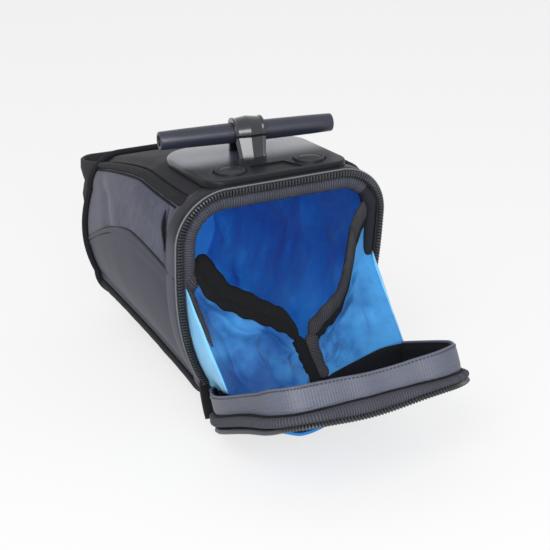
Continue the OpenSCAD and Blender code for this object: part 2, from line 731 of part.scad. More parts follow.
module lid_band() {
    edge_f = band_foot_f - band_h;
    edge_d = band_d + band_draft;
    color("#4a4b53") opened() rim_sweep(between(-roll_end_u, roll_end_u), [
        [band_d + band_t, band_foot_f], [edge_d + band_t, edge_f], [edge_d, edge_f], [band_d, band_foot_f]]);
}
module lid_binding() {
    roll_f = lid_f - 2 * ply_gap - roll_r / 2;
    color("#3a3b40") opened()
        rim_sweep(between(-zip_end_u, zip_end_u), rim_round(roll_d, roll_f, roll_r, 8));
}
module lid_zip_tape() {
    color("#202124") opened()
        rim_sweep(between(-zip_end_u, zip_end_u), rim_box(0, tape_w, lid_tape_f, lid_tape_f + tape_t));
}
module lid_zip_teeth() {
    color("#3b3c41") opened() zip_teeth(lid_tooth_f, 0.5);
}

// A webbing loop across the lid's outer face, sewn down at both ends
module light_loop() {
    x = web_l / 2;
    pad = 7;
    lift = 1;
    low = lid_face(1 - web_l / mouth_w) + panel_t + pass_gap;
    high = lid_bulge + panel_t + web_gap;
    half = [[x, low], [x - pad, low + lift], [x - 2 * pad, high]];
    under = concat([for (p = half) [-p.x, p.y]], [for (i = [len(half) - 1:-1:0]) half[i]]);
    over = [for (i = [len(under) - 1:-1:0]) under[i] + [0, web_t]];
    lean = atan(mouth_lean / mouth_h);
    color("#2f8ad8") opened() translate(lid_centre - [0, lid_f, 0]) rotate([-lean, 0, 0])
        translate([0, 0, -web_w / 2]) linear_extrude(web_w)
            polygon([for (p = concat(under, over)) [p.x, -p.y]]);
}

mount_plate();
plate_rivets();
swivel_disc();
strap_loop();
t_bar();
top_panel();
left_side_panel();
right_side_panel();
left_lower_panel();
right_lower_panel();
bottom_panel();
nose_panel();
left_piping();
right_piping();
nose_piping();
top_stiffener();
wall_core();
body_lining();
mouth_zip_tape();
mouth_zip_teeth();
mouth_binding();
zip_slider();
zip_puller();
left_gusset();
right_gusset();
left_gusset_web();
right_gusset_web();
left_gusset_binding();
right_gusset_binding();
hinge_strip();
seatpost_strap();
strap_keeper();
lid_panel();
lid_stiffener();
lid_lining();
lid_band();
lid_binding();
lid_zip_tape();
lid_zip_teeth();
light_loop();
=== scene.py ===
# %% [markdown]
# A bag that hangs under a bicycle saddle: a cloth wedge with a moulded T-bar clip on top, a zip round
# its mouth and a lid that lies open on two folding blue gussets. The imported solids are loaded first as
# a fixed frame, and each soft or moulded piece is then made over them at the same place and size.

# %% Load the frame
import math

import bmesh
import bpy
import numpy as np
from mathutils import Matrix, Vector, noise


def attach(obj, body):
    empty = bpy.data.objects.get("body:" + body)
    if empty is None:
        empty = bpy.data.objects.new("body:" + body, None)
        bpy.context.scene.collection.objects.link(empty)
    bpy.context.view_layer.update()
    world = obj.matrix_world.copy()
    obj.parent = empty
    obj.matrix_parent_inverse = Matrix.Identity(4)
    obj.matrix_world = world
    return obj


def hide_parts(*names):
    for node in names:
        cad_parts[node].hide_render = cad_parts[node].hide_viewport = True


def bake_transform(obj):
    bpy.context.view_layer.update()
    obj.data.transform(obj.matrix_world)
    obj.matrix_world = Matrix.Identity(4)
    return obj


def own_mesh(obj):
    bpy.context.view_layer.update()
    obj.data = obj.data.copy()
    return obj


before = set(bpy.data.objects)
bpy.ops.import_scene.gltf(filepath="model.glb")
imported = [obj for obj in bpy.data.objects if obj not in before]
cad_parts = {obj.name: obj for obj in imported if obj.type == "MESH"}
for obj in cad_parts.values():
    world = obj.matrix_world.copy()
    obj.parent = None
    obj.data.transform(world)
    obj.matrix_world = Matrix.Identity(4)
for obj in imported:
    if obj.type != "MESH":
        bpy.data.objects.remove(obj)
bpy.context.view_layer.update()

MM = 0.001

# %% [markdown]
# The camera stands to the left in front of the mouth and looks a little down. Its turn, rise and lens
# were measured by fitting the T-bar's ends, the mouth's rim and the nose. A camera can be aimed with a
# constraint, but a matrix built from three directions also holds the slight roll.

# %% Camera
TURN = math.radians(-26.69)
RISE = math.radians(20.82)
ROLL = math.radians(-1.53)
AIM = Vector((12.12, 0, -60.18)) * MM
DISTANCE = 600 * MM
SENSOR_MM, FOCAL_PX, PICTURE_PX = 36, 1293, 550
back = Vector((math.sin(TURN) * math.cos(RISE), -math.cos(TURN) * math.cos(RISE), math.sin(RISE)))
right = Vector((math.cos(TURN), math.sin(TURN), 0))
up = back.cross(right)
across = right * math.cos(ROLL) + up * math.sin(ROLL)
upward = up * math.cos(ROLL) - right * math.sin(ROLL)
camera = bpy.data.objects.new("camera", bpy.data.cameras.new("camera"))
camera.data.sensor_width = SENSOR_MM
camera.data.lens = SENSOR_MM * FOCAL_PX / PICTURE_PX
camera.data.clip_start = 0.01
camera.matrix_world = Matrix.LocRotScale(
    AIM + back * DISTANCE, Matrix((across, upward, back)).transposed().to_quaternion(), None)
bpy.context.collection.objects.link(camera)
bpy.context.scene.camera = camera
bpy.context.scene.view_settings.view_transform = "Standard"
print("camera at", [round(value, 3) for value in camera.location])

# %% [markdown]
# The bag is one lofted form: at each place along it the outline has a flat top, round top corners,
# flanks that draw in, round base corners and a flat base. One number u runs round that outline, from 0
# at the middle of the top to 5 at the middle of the base, and back to 10 up the left side. Every cloth
# piece takes its points from this one function, so that neighbours meet on the same line.

# %% The bag's form
MOUTH_Y, NOSE_Y, NOSE_R, SLOPE_Y, TOP_Z = 36.0, 114.0, 6.0, 18.0, -3.0
MOUTH_W, MOUTH_BASE_W, MOUTH_H, MOUTH_LEAN = 100.0, 76.0, 101.0, -14.0
NOSE_W, NOSE_BASE_W, NOSE_DROP, NOSE_LIFT = 69.0, 68.0, 22.0, 4.0
CORNER_R, NOSE_CORNER_R, BASE_R, NOSE_BASE_R, FLANK_BULGE = 23.0, 16.0, 11.0, 14.0, 4.5
SEAM_U, BASE_SEAM_U, ZIP_END_U = 1.47, 3.5, 3.05
SLOPE_POWER = 1.25
SIDES = ((-1, "left"), (1, "right"))


def mix(a, b, share):
    """A share of the way from a to b."""
    return a + (b - a) * share


def depth_share(y):
    """How far along the bag a station is, from 0 at the mouth to 1 at the nose."""
    return np.clip((y + MOUTH_Y) / (NOSE_Y + MOUTH_Y), 0, 1)


def half_outline(u, y, d):
    """X and Z of the right half's outline at a station y, moved in by d."""
    share = depth_share(y)
    eased = 1 - (1 - share) ** 2
    slope = np.maximum(0, (np.minimum(y, NOSE_Y) - SLOPE_Y) / (NOSE_Y - SLOPE_Y)) ** SLOPE_POWER
    top = TOP_Z - NOSE_DROP * slope
    base = TOP_Z - MOUTH_H + NOSE_LIFT * share
    wide = mix(MOUTH_W, NOSE_W, share * share) / 2
    foot = mix(MOUTH_BASE_W, NOSE_BASE_W, eased) / 2
    r_top = mix(CORNER_R, NOSE_CORNER_R, share)
    r_base = mix(BASE_R, NOSE_BASE_R, share)
    down = u - 2
    top_turn = np.radians(90 * (2 - u))
    base_turn = np.radians(90 * (u - 3))
    spans = [u < 1, u < 2, u < 3, u < 4]
    x = np.select(spans, [
        (wide - r_top) * u, wide - r_top + (r_top - d) * np.cos(top_turn),
        mix(wide, foot, down ** 3) + 4 * FLANK_BULGE * eased * down * (1 - down) - d,
        foot - r_base + (r_base - d) * np.cos(base_turn)], (foot - r_base) * (5 - u))
    z = np.select(spans, [
        top - d, top - r_top + (r_top - d) * np.sin(top_turn), mix(top - r_top, base + r_base, down),
        base + r_base - (r_base - d) * np.sin(base_turn)], base + d)
    return x, z


def skin(u, y, d=0.0):
    """Points of the bag's skin, d deep, in mm."""
    u, y, d = np.broadcast_arrays(np.asarray(u, float), np.asarray(y, float), np.asarray(d, float))
    w = np.mod(u, 10)
    x, z = half_outline(np.where(w <= 5, w, 10 - w), y, d)
    lean = MOUTH_LEAN * (z - TOP_Z) / MOUTH_H * (1 - depth_share(y)) ** 2
    return np.stack([np.where(w <= 5, x, -x), y + lean, z], -1)


def rim(u, inset, front):
    """Points on the mouth's rim, inset from its edge and in front of it."""
    u, inset, front = np.broadcast_arrays(np.asarray(u, float), inset, front)
    points = skin(u, -MOUTH_Y, inset)
    points[..., 1] -= front
    return points


def sided(u, side):
    """A place on the right half's outline, moved to the given side."""
    return 5 + side * (u - 5)


print("mouth", MOUTH_W, "by", MOUTH_H, "mm, nose", NOSE_W, "mm wide")

# %% [markdown]
# The lid is drawn shut, in front of the mouth, and turned about the cloth fold at its base to the angle
# that the photograph shows. The same turn then gives every point on the open lid.

# %% The open lid
OPEN = math.radians(62)
HINGE = np.array([0.0, -26.3, -104.0])


def opened(points):
    """Turns points of the shut lid to where they are on the open one."""
    q = points - HINGE
    c, s = math.cos(OPEN), math.sin(OPEN)
    return HINGE + np.stack([q[..., 0], q[..., 1] * c - q[..., 2] * s, q[..., 1] * s + q[..., 2] * c], -1)


def turned(directions):
    """Turns directions as the lid turns when it opens."""
    return opened(directions + HINGE) - HINGE


print("lid's far edge at", opened(rim(0.0, 0, 0)).round(1))

# %% [markdown]
# Cloth is made from grids of points. A grid can be modelled by hand from a plane, but a sheet that has
# to follow a seam is easier to state as rows and columns. The mesh gets a UV map in metres, along and
# across, so that a weave keeps its real size on every piece.

# %% Meshes from grids
def run_length(points):
    """Distance along the first axis of a grid, averaged over the second."""
    steps = np.linalg.norm(np.diff(points, axis=0), axis=-1)
    return np.concatenate([[0], np.cumsum(steps.reshape(len(steps), -1).mean(1))])


def cloth(name, points, wrap=False, caps=""):
    """A smooth mesh through a grid of points in mm; a wrapped grid closes round, and caps close its
    last row or both ends."""
    rows, cols = points.shape[:2]
    ring = np.concatenate([points, points[:, :1]], axis=1) if wrap else points
    j, i = np.meshgrid(np.arange(rows - 1), np.arange(ring.shape[1] - 1), indexing="ij")
    corners = [(j, i), (j, i + 1), (j + 1, i + 1), (j + 1, i)]
    faces = np.stack([a * cols + b % cols for a, b in corners], -1).reshape(-1, 4).tolist()
    along = run_length(points) * MM
    around = run_length(ring.swapaxes(0, 1)) * MM
    uv = np.stack([np.stack([along[a], around[b]], -1) for a, b in corners], 2).reshape(-1, 2)
    ends = {"": [], "end": [rows - 1], "both": [0, rows - 1]}[caps]
    for row in ends:
        faces.append([row * cols + k for k in (range(cols) if row else range(cols - 1, -1, -1))][::-1])
        uv = np.concatenate([uv, np.zeros((cols, 2))])
    mesh = bpy.data.meshes.new(name)
    mesh.from_pydata((points.reshape(-1, 3) * MM).tolist(), [], faces)
    mesh.uv_layers.new(name="cut").data.foreach_set("uv", uv.ravel())
    piece = bpy.data.objects.new(name, mesh)
    bpy.context.collection.objects.link(piece)
    if caps == "both":
        face_out(piece)
    mesh.shade_smooth()
    return piece


def face_out(piece):
    """Turns all faces outwards."""
    shape = bmesh.new()
    shape.from_mesh(piece.data)
    bmesh.ops.recalc_face_normals(shape, faces=shape.faces)
    shape.to_mesh(piece.data)
    shape.free()


def alone(piece):
    """Makes a piece the only selected and the active one."""
    bpy.ops.object.select_all(action="DESELECT")
    piece.select_set(True)
    bpy.context.view_layer.objects.active = piece


def apply(piece, kind, **settings):
    """Adds a modifier with these settings and applies it."""
    alone(piece)
    modifier = piece.modifiers.new(kind.lower(), kind)
    for key, value in settings.items():
        setattr(modifier, key, value)
    bpy.ops.object.modifier_apply(modifier=modifier.name)


def thicken(piece, thickness, offset=-1):
    """Gives a sheet its thickness in mm: inwards, or to both sides with an offset of 0."""
    apply(piece, "SOLIDIFY", thickness=thickness * MM, offset=offset)


print("grids ready")

# %% [markdown]
# Cloth is never quite smooth. These helpers give what makes it uneven: noise with lumps of a given size,
# soft steps and bumps, and the wave of a ribbed tape. A Displace modifier could do some of it, but as
# plain numbers they can be added to any measure of a piece.

# %% Unevenness
def cloud(points, size, seed):
    """Smooth noise from -1 to 1 at each point of a grid, with lumps of about this size in mm."""
    flat = [noise.noise(Vector(p) / size + Vector((seed, 0, -seed))) for p in points.reshape(-1, 3)]
    return np.array(flat).reshape(points.shape[:-1])


def bell(x, width):
    """1 where x is 0, falling off over the width."""
    return np.exp(-(x / width) ** 2)


def unit(v):
    """Vectors brought to length 1."""
    return v / np.linalg.norm(v, axis=-1, keepdims=True)


def smooth_step(x, low, high):
    """Rises softly from 0 at low to 1 at high."""
    t = np.clip((x - low) / (high - low), 0, 1)
    return t * t * (3 - 2 * t)


def ring_angles(count):
    """Angles of even steps once round."""
    return np.radians(np.linspace(0, 360, count + 1)[:-1])


def rib_wave(count):
    """Goes from 0 to 1 and back once each rib, at four points a rib."""
    return np.abs(np.sin(np.arange(count) * math.pi / 4 + 0.4))


print("one rib:", rib_wave(4).round(2))

# %% [markdown]
# A finish is one shader with a few maps. The class wraps a socket, so that shader maths reads as plain
# Python: adding or multiplying two wires adds a Math node. One method makes any other node: its type,
# its settings, which are set first, and the values or wires of its sockets.

# %% Wires
class Wire:
    """A socket of a shader tree that can be used in expressions."""

    def __init__(self, tree, socket=None):
        self.tree = tree
        self.socket = socket

    def node(self, kind, settings=None, inputs=None, out=0):
        """Adds a node, with its settings first and then its inputs, and gives one of its outputs."""
        made = self.tree.nodes.new(kind)
        for key, value in (settings or {}).items():
            setattr(made, key, value)
        for key, value in (inputs or {}).items():
            if isinstance(value, Wire):
                self.tree.links.new(value.socket, made.inputs[key])
            else:
                made.inputs[key].default_value = value
        return Wire(self.tree, made.outputs[out])

    def maths(self, operation, a, b):
        return self.node("ShaderNodeMath", {"operation": operation}, {0: a, 1: b})

    def __add__(self, other):
        return self.maths("ADD", self, other)

    def __radd__(self, other):
        return self.maths("ADD", other, self)

    def __sub__(self, other):
        return self.maths("SUBTRACT", self, other)

    def __rsub__(self, other):
        return self.maths("SUBTRACT", other, self)

    def __mul__(self, other):
        return self.maths("MULTIPLY", self, other)

    def __rmul__(self, other):
        return self.maths("MULTIPLY", other, self)


print("wires ready")

# %% [markdown]
# The finishes are made of colours as they are seen on screen, noise at a real size, threads on the
# piece's own map, and the place on the object. Image textures could give the same, but patterns made by
# nodes keep their scale on every piece and have no edges.

# %% Patterns
def tint(code):
    """The shader's linear colour of a hex colour as it is seen on screen."""
    parts = [int(code[k:k + 2], 16) / 255 for k in (1, 3, 5)]
    return [c / 12.92 if c <= 0.04045 else ((c + 0.055) / 1.055) ** 2.4 for c in parts] + [1]


def between(wire, mask, low, high):
    """A colour that goes from low to high with the mask; each is a hex colour or a wire."""
    ends = {6 + k: tint(end) if isinstance(end, str) else end for k, end in enumerate((low, high))}
    return wire.node("ShaderNodeMix", {"data_type": "RGBA"}, {0: mask} | ends, 2)


def grain(wire, size, source="Object", stretch=(1, 1, 1), detail=3.0):
    """Noise with lumps of about this size in mm; stretch draws it out along the source's axes."""
    point = wire.node("ShaderNodeTexCoord", out=source)
    drawn = wire.node("ShaderNodeMapping", {}, {"Vector": point, "Scale": stretch})
    return wire.node("ShaderNodeTexNoise", {}, {"Vector": drawn, "Scale": 1 / (size * MM), "Detail": detail})


def threads(wire, pitch, direction):
    """Round threads on the piece's own map, one each pitch in mm, across the given direction."""
    cut = wire.node("ShaderNodeTexCoord", out="UV")
    inputs = {"Vector": cut, "Scale": math.pi / 10 / (pitch * MM)}
    return wire.node("ShaderNodeTexWave", {"bands_direction": direction}, inputs, 1)


def place(wire, axis):
    """A coordinate in metres: 0 is across the bag, 1 along it and 2 up."""
    point = wire.node("ShaderNodeTexCoord", out="Object")
    return wire.node("ShaderNodeSeparateXYZ", {}, {"Vector": point}, axis)


def ramp(wire, value, low, high, kind="LINEAR"):
    """Goes from 0 where the value is low to 1 where it is high."""
    span = {"Value": value, "From Min": low, "From Max": high}
    return wire.node("ShaderNodeMapRange", {"interpolation_type": kind}, span)


def new_finish(name, fixed, build):
    """A material with fixed values on the shader and what build makes for the sockets that vary."""
    made = bpy.data.materials.new(name)
    made.use_nodes = True
    shader = made.node_tree.nodes["Principled BSDF"]
    for key, value in fixed.items():
        shader.inputs[key].default_value = value
    wire = Wire(made.node_tree)
    for key, value in build(wire).items():
        if key == "Height":
            relief, drop = value
            bump = {"Height": relief, "Distance": drop * MM, "Strength": 1.0}
            key, value = "Normal", wire.node("ShaderNodeBump", {}, bump)
        made.node_tree.links.new(value.socket, shader.inputs[key])
    print("finish", name, len(made.node_tree.nodes), "nodes")
    return made


print("white is", tint("#ffffff"))

# %% [markdown]
# The clip is moulded nylon: a dark grey that is never quite even, with a fine spark eroded grain that
# breaks up the shine. Its plate is glossier towards the nose, with a painted reflection that lightens its
# colour there and painted shade in its hollows and on its sides; the bar has painted shade that makes it
# black inside its bores, and the strap loop is polished. Grain could be modelled, but at a tenth of a
# millimetre a bump map does the same. The place on the object says where a tone changes.

# %% Moulded finishes
CLIP_TURN, BAR_Z, BORE_R = math.radians(-8), 10.0, 2.4
DULL = {"Specular IOR Level": 0.22}


def moulded(dark, light, rough, depth, size=0.35, patch=14, detail=2.0):
    """A fine grain with this relief in mm over slow patches of tone."""
    def build(wire):
        fine = grain(wire, size, detail=detail)
        broad = grain(wire, patch)
        return {"Base Color": between(wire, broad * 0.7 + fine * 0.3, dark, light),
                "Roughness": rough - 0.08 + broad * 0.1 + fine * 0.06, "Height": (fine, depth)}
    return build


def plate_with_painted_light(wire):
    """The plate: satin and dark in front, glossier and lighter towards the nose by a painted reflection,
    with painted shade in its hollows and on its sides.
    """
    made = moulded("#13151b", "#20232c", 0.42, 0.05)(wire)
    back = ramp(wire, place(wire, 1), -15 * MM, 3 * MM, "SMOOTHSTEP")
    # Painted shade: the colour goes dark below the top face, in the hollows and on the sides.
    face = ramp(wire, place(wire, 2), -0.6 * MM, -0.2 * MM)
    # Painted reflection: the colour lightens towards the nose; the coat there is real gloss.
    painted_reflection = between(wire, back, made["Base Color"], "#494d5e")
    return made | {"Base Color": between(wire, face, "#101115", painted_reflection), "Coat Weight": back * 0.8}


def bar_with_painted_bore_shade(wire):
    """The bar, with painted shade that makes it black inside its two bores, which run along its axis."""
    made = moulded("#1a1d28", "#2d3140", 0.3, 0.08)(wire)
    x, y, z = (place(wire, axis) for axis in range(3))
    off = y * math.cos(CLIP_TURN) - x * math.sin(CLIP_TURN)
    up = z - BAR_Z * MM
    # Painted shade: inside the bore's radius the colour goes black.
    wall = ramp(wire, off * off + up * up, ((BORE_R + 0.1) * MM) ** 2, ((BORE_R + 0.4) * MM) ** 2)
    return made | {"Base Color": between(wire, wall, "#050506", made["Base Color"])}


plate_finish = new_finish("moulded_plate", DULL | {"Coat Roughness": 0.15}, plate_with_painted_light)
bar_finish = new_finish("moulded_bar", {}, bar_with_painted_bore_shade)
cap_finish = new_finish("rivet_cap", DULL, moulded("#1c1d22", "#2b2c32", 0.36, 0.03))
loop_finish = new_finish("polished_loop", DULL | {"Coat Weight": 1.0, "Coat Roughness": 0.2},
                         moulded("#0e1015", "#191c25", 0.3, 0.01))
slider_finish = new_finish("lacquered_slider", {"Coat Weight": 0.4}, moulded("#161719", "#25262a", 0.3, 0.02))
board_finish = new_finish("board", {}, moulded("#161617", "#222224", 0.7, 0.05))
foam_finish = new_finish("foam", {}, moulded("#333333", "#454545", 0.9, 0.2))

# %% [markdown]
# Woven cloths. A plain weave is two sets of threads, so two wave patterns are multiplied. Each cloth has
# slow patches of lighter and darker colour, as dyed cloth has. The flanks are a ripstop with fine drawn
# streaks. The lining is a thin bright nylon with a painted shade that gets deeper towards the right,
# where the photograph shows it in shade.

# %% Woven cloths
def plain_weave(wire, pitch):
    """Threads both ways, one each pitch in mm."""
    return threads(wire, pitch, "X") * threads(wire, pitch, "Y")


def nylon(dark, light, lean=0.0):
    """Thin crumpled cloth: a fine weave over soft creases, paler to the right by the lean, which is
    painted light and shade.
    """
    def build(wire):
        weave = plain_weave(wire, 0.35)
        crumple = grain(wire, 8, detail=2.0)
        broad = grain(wire, 28)
        # Painted light and shade: the lean lightens the colour to the right.
        folds = broad * 0.6 + crumple * 0.25 + weave * 0.15 + place(wire, 0) * lean
        return {"Base Color": between(wire, ramp(wire, folds, 0.3, 0.56), dark, light),
                "Roughness": 0.46 + broad * 0.12, "Height": (crumple + weave * 0.03, 1.4)}
    return build


def shaded(wire):
    """The lining, with painted light and shade: bright on its left wall and a deeper blue to the right."""
    made = nylon("#1f8aec", "#45b2ff")(wire)
    wander = grain(wire, 30) * (50 * MM)
    # Painted shade: a deeper blue to the right, where the lining lies in shadow.
    right = ramp(wire, place(wire, 0) + wander, 45 * MM, 80 * MM, "SMOOTHSTEP")
    return made | {"Base Color": between(wire, right * 0.8, made["Base Color"], "#2a5ccc")}


def woven(dark, light, pitch, depth, rough=0.75):
    """A plain weave with this relief in mm."""
    def build(wire):
        weave = plain_weave(wire, pitch)
        broad = grain(wire, 18)
        return {"Base Color": between(wire, broad * 0.6 + weave * 0.4, dark, light),
                "Roughness": rough - 0.06 + broad * 0.12, "Height": (weave, depth)}
    return build


def streaked(dark, light):
    """The flanks' ripstop, with fine streaks drawn along it."""
    def build(wire):
        drawn = grain(wire, 0.9, "UV", (1, 0.13, 1), 4.0)
        weave = plain_weave(wire, 0.45)
        mask = ramp(wire, drawn * 0.75 + grain(wire, 24) * 0.25, 0.34, 0.66)
        return {"Base Color": between(wire, mask, dark, light), "Roughness": 0.62 + drawn * 0.15,
                "Height": (drawn + weave * 0.3, 0.1)}
    return build


print("woven patterns: nylon, plain and streaked")

# %% [markdown]
# Coated cloths and tapes. A coat hides the weave and leaves a fine grain; a tape has ribs across it and
# picks up lint. The facing round the mouth is grey on the flanks and black over the top. Two cloths could
# be sewn there, but one finish that changes with the height keeps the strip in one piece.

# %% Coats and tapes
def coated(dark, light, rough):
    """A smooth coat: the moulded grain, but finer in relief and broader in its patches."""
    return moulded(dark, light, rough + 0.01, 0.04, 0.5, 22, 4.0)


def faded(wire):
    """The mouth's facing: coated grey on the flanks, black over the top."""
    made = coated("#383a45", "#484a57", 0.45)(wire)
    top = ramp(wire, place(wire, 2), -30 * MM, -14 * MM, "SMOOTHSTEP")
    return made | {"Base Color": between(wire, top, made["Base Color"], "#1b1c22")}


def drawn_coat(dark, light):
    """A coated strip with fine lines along it and the print of the ribs behind it."""
    def build(wire):
        lines = grain(wire, 0.7, "UV", (0.1, 1, 1), 4.0)
        ribs = threads(wire, 1.2, "X") * grain(wire, 14)
        broad = grain(wire, 18)
        return {"Base Color": between(wire, broad * 0.5 + lines * 0.5, dark, light),
                "Roughness": 0.42 + lines * 0.12, "Height": (lines + ribs * 0.5, 0.3)}
    return build


def ribbed(dark, light, pitch):
    """A tape with ribs across it and flecks of lint."""
    def build(wire):
        ribs = threads(wire, pitch, "X")
        fleck = grain(wire, 0.5)
        tone = ribs * 0.6 + fleck * 0.25 + grain(wire, 16) * 0.15
        return {"Base Color": between(wire, tone, dark, light), "Roughness": 0.7 + fleck * 0.15,
                "Height": (ribs + fleck * 0.3, 0.25)}
    return build


print("coats: plain, faded and drawn; tapes: ribbed")

# %% [markdown]
# Each cloth of the bag gets its two tones and the size of its weave. The blues are one nylon in three
# tones, painted light and shade for the three lights that the photograph shows; the greys lean a little
# to blue, as the real cloth does.

# %% Cloth finishes
SHEEN = {"Sheen Weight": 0.15, "Sheen Roughness": 0.4}
black_cloth = new_finish("black_cloth", DULL, woven("#14151a", "#24252e", 0.5, 0.06, 0.66))
side_cloth = new_finish("side_cloth", SHEEN | DULL, streaked("#2d2e3c", "#525469"))
lower_cloth = new_finish("lower_cloth", DULL, coated("#2c2e3d", "#363949", 0.5))
facing_cloth = new_finish("facing_cloth", DULL, faded)
piping_cloth = new_finish("piping_cloth", DULL, woven("#101115", "#202127", 0.4, 0.06))
# Painted light and shade: lining, gusset and web are one nylon in three tones.
lining_cloth = new_finish("lining_cloth", SHEEN, shaded)
# Painted light and shade: the lean makes the right gusset paler and the left darker.
gusset_cloth = new_finish("gusset_cloth", SHEEN | DULL, nylon("#0c4488", "#408dca", 2.6))
# Painted light: the web's paler tone of the same nylon.
web_cloth = new_finish("web_cloth", SHEEN, nylon("#5cb2e6", "#7cc6f0"))
# A black tape; as painted shade it also makes the welt's and tuck's cords, the lid's gap cord and the left
# gusset edge.
binding_cloth = new_finish("binding_cloth", DULL, ribbed("#050507", "#111216", 0.8))
bound_cloth = new_finish("bound_cloth", DULL, ribbed("#0e0e11", "#47474d", 1.2))
roll_cloth = new_finish("roll_cloth", {}, ribbed("#15161d", "#494b58", 1.2))
tape_cloth = new_finish("tape_cloth", {}, ribbed("#121315", "#26272a", 0.6))
edge_cloth = new_finish("edge_cloth", {}, woven("#5c5d64", "#7c7d85", 0.4, 0.05))
strap_cloth = new_finish("strap_cloth", {}, woven("#141517", "#292a2d", 0.9, 0.2))
webbing_cloth = new_finish("webbing_cloth", {}, woven("#1f78c8", "#3f9ae6", 1.1, 0.25))
band_cloth = new_finish("band_cloth", {}, drawn_coat("#404454", "#646877"))
lid_cloth = new_finish("lid_cloth", {}, coated("#34353d", "#44454f", 0.5))
teeth_finish = new_finish("zip_teeth", {}, moulded("#1f2023", "#3a3b3f", 0.35, 0.02))
thread_finish = new_finish("thread", {}, woven("#2a2b2e", "#3d3e42", 0.3, 0.05))

# %% [markdown]
# Every piece ends in the same way: it gets its finish, is set on the body that carries it, and hides
# the plain solid that it stands for. The gussets, the hinge cloth and the zip's tails belong to bag and
# lid at once, so they are set on no body. A few plain solids stay, and only get a finish.

# %% Fitting a piece
FOLD_FROM, FOLD_REACH = np.array([0.0, -28.0, -60.0]), 0.78
FOLD_TO = mix(FOLD_FROM, opened(FOLD_FROM), FOLD_REACH)
FOLDS = {"fold": (FOLD_FROM, FOLD_TO), "edge": ((0, -23, -56.8), FOLD_TO),
         "hinge": ((0, -21, -104.5), (0, -29, -107)), "tail": ((0, -25, -98), (0, -33, -106))}


def fit(piece, finish, body, slot, *nodes):
    """Gives a piece its finish and body; the slot is not used, and a name from FOLDS leaves it on no body."""
    piece.data.materials.clear()
    piece.data.materials.append(finish)
    if body in FOLDS:
        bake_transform(piece)
    else:
        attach(piece, body)
    if nodes:
        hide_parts(*nodes)
    print(piece.name, len(piece.data.polygons), "faces")


KEPT = {"swivel_disc": plate_finish, "top_stiffener": board_finish, "lid_stiffener": board_finish,
        "wall_core": foam_finish, "zip_slider": slider_finish, "zip_puller": slider_finish}
for node, finish in KEPT.items():
    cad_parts[node].material_slots[0].material = finish
print("solids kept with a new finish:", len(KEPT))

# %% [markdown]
# Edit mode works on what is selected. This helper picks faces, edges or vertices by a test on their
# middle, in mm, so that each step says plainly where it acts.

# %% Picking by place
SMOOTH_DEG = 35


def clear_selection():
    """Deselects everything, because the loaded solids start out selected."""
    bpy.ops.object.select_all(action="DESELECT")


def pick(kind, test):
    """Selects the parts whose middle, in mm, and the part itself pass a test."""
    bpy.ops.mesh.select_mode(type={"verts": "VERT", "edges": "EDGE", "faces": "FACE"}[kind])
    bpy.ops.mesh.select_all(action="DESELECT")
    shape = bmesh.from_edit_mesh(bpy.context.edit_object.data)
    for part in getattr(shape, kind):
        corners = [part.co] if kind == "verts" else [v.co for v in part.verts]
        middle = sum(corners, Vector()) / len(corners) / MM
        if test(middle, part):
            part.select_set(True)
    bmesh.update_edit_mesh(bpy.context.edit_object.data)


def start_piece(name):
    """Names the primitive just added and opens it in edit mode."""
    piece = bpy.context.object
    piece.name = piece.data.name = name
    bpy.ops.object.transform_apply(location=True, rotation=True, scale=True)
    bpy.ops.object.mode_set(mode="EDIT")
    return piece


def end_piece(piece, turn=0.0, angle=SMOOTH_DEG):
    """Leaves edit mode, turns the piece about the upright and shades it smooth."""
    bpy.ops.object.mode_set(mode="OBJECT")
    alone(piece)
    piece.rotation_euler = (0, 0, turn)
    bpy.ops.object.transform_apply(location=True, rotation=True, scale=True)
    face_out(piece)
    bpy.ops.object.shade_smooth_by_angle(angle=math.radians(angle))


def slice_at(axis, cuts):
    """Cuts the whole mesh square to an axis at these places in mm."""
    normal = [float(k == axis) for k in range(3)]
    for cut in cuts:
        bpy.ops.mesh.select_all(action="SELECT")
        bpy.ops.mesh.bisect(plane_co=[n * cut * MM for n in normal], plane_no=normal)


def extrude(x, y, z):
    """Draws the selected faces out by these distances in mm."""
    bpy.ops.mesh.extrude_region_move(TRANSFORM_OT_translate={"value": (x * MM, y * MM, z * MM)})


print("edges flatter than", SMOOTH_DEG, "degrees are shaded smooth")

# %% [markdown]
# The T-bar goes over the two saddle rails. It is a round bar that tapers from its middle to its ends,
# and both ends are hollow with a rounded rim. A cylinder is cut by planes beside the loop and further
# out. The outer cuts and the ends are drawn in for the taper, the end faces are inset and pushed back for
# the hollows, and the rims are bevelled.

# %% T-bar
BAR_L, BAR_R, BAR_END_R, BORE_L, BAR_RIM_R, BAR_SIDES = 80.0, 4.5, 4.0, 12.0, 0.75, 64
TAPER_Z, LOOP_SIDE_Z = 30, 7
clear_selection()
bpy.ops.mesh.primitive_cylinder_add(vertices=BAR_SIDES, radius=BAR_R * MM, depth=BAR_L * MM)
t_bar = start_piece("t_bar_moulding")
slice_at(2, (-TAPER_Z, -LOOP_SIDE_Z, LOOP_SIDE_Z, TAPER_Z))
end_share = BAR_END_R / BAR_R
for low, high, share in ((BAR_L / 2 - 1, BAR_L, end_share), (TAPER_Z - 1, TAPER_Z + 1, (1 + end_share) / 2)):
    pick("verts", lambda m, v: low < abs(m.z) < high)
    bpy.ops.transform.resize(value=(share, share, 1), center_override=(0, 0, 0))
for end in (-1, 1):
    pick("faces", lambda m, f: len(f.verts) > 8 and m.z * end > BAR_L / 2 - 1)
    bpy.ops.mesh.inset(thickness=(BAR_END_R - BORE_R) * MM)
    extrude(0, 0, -end * BORE_L)
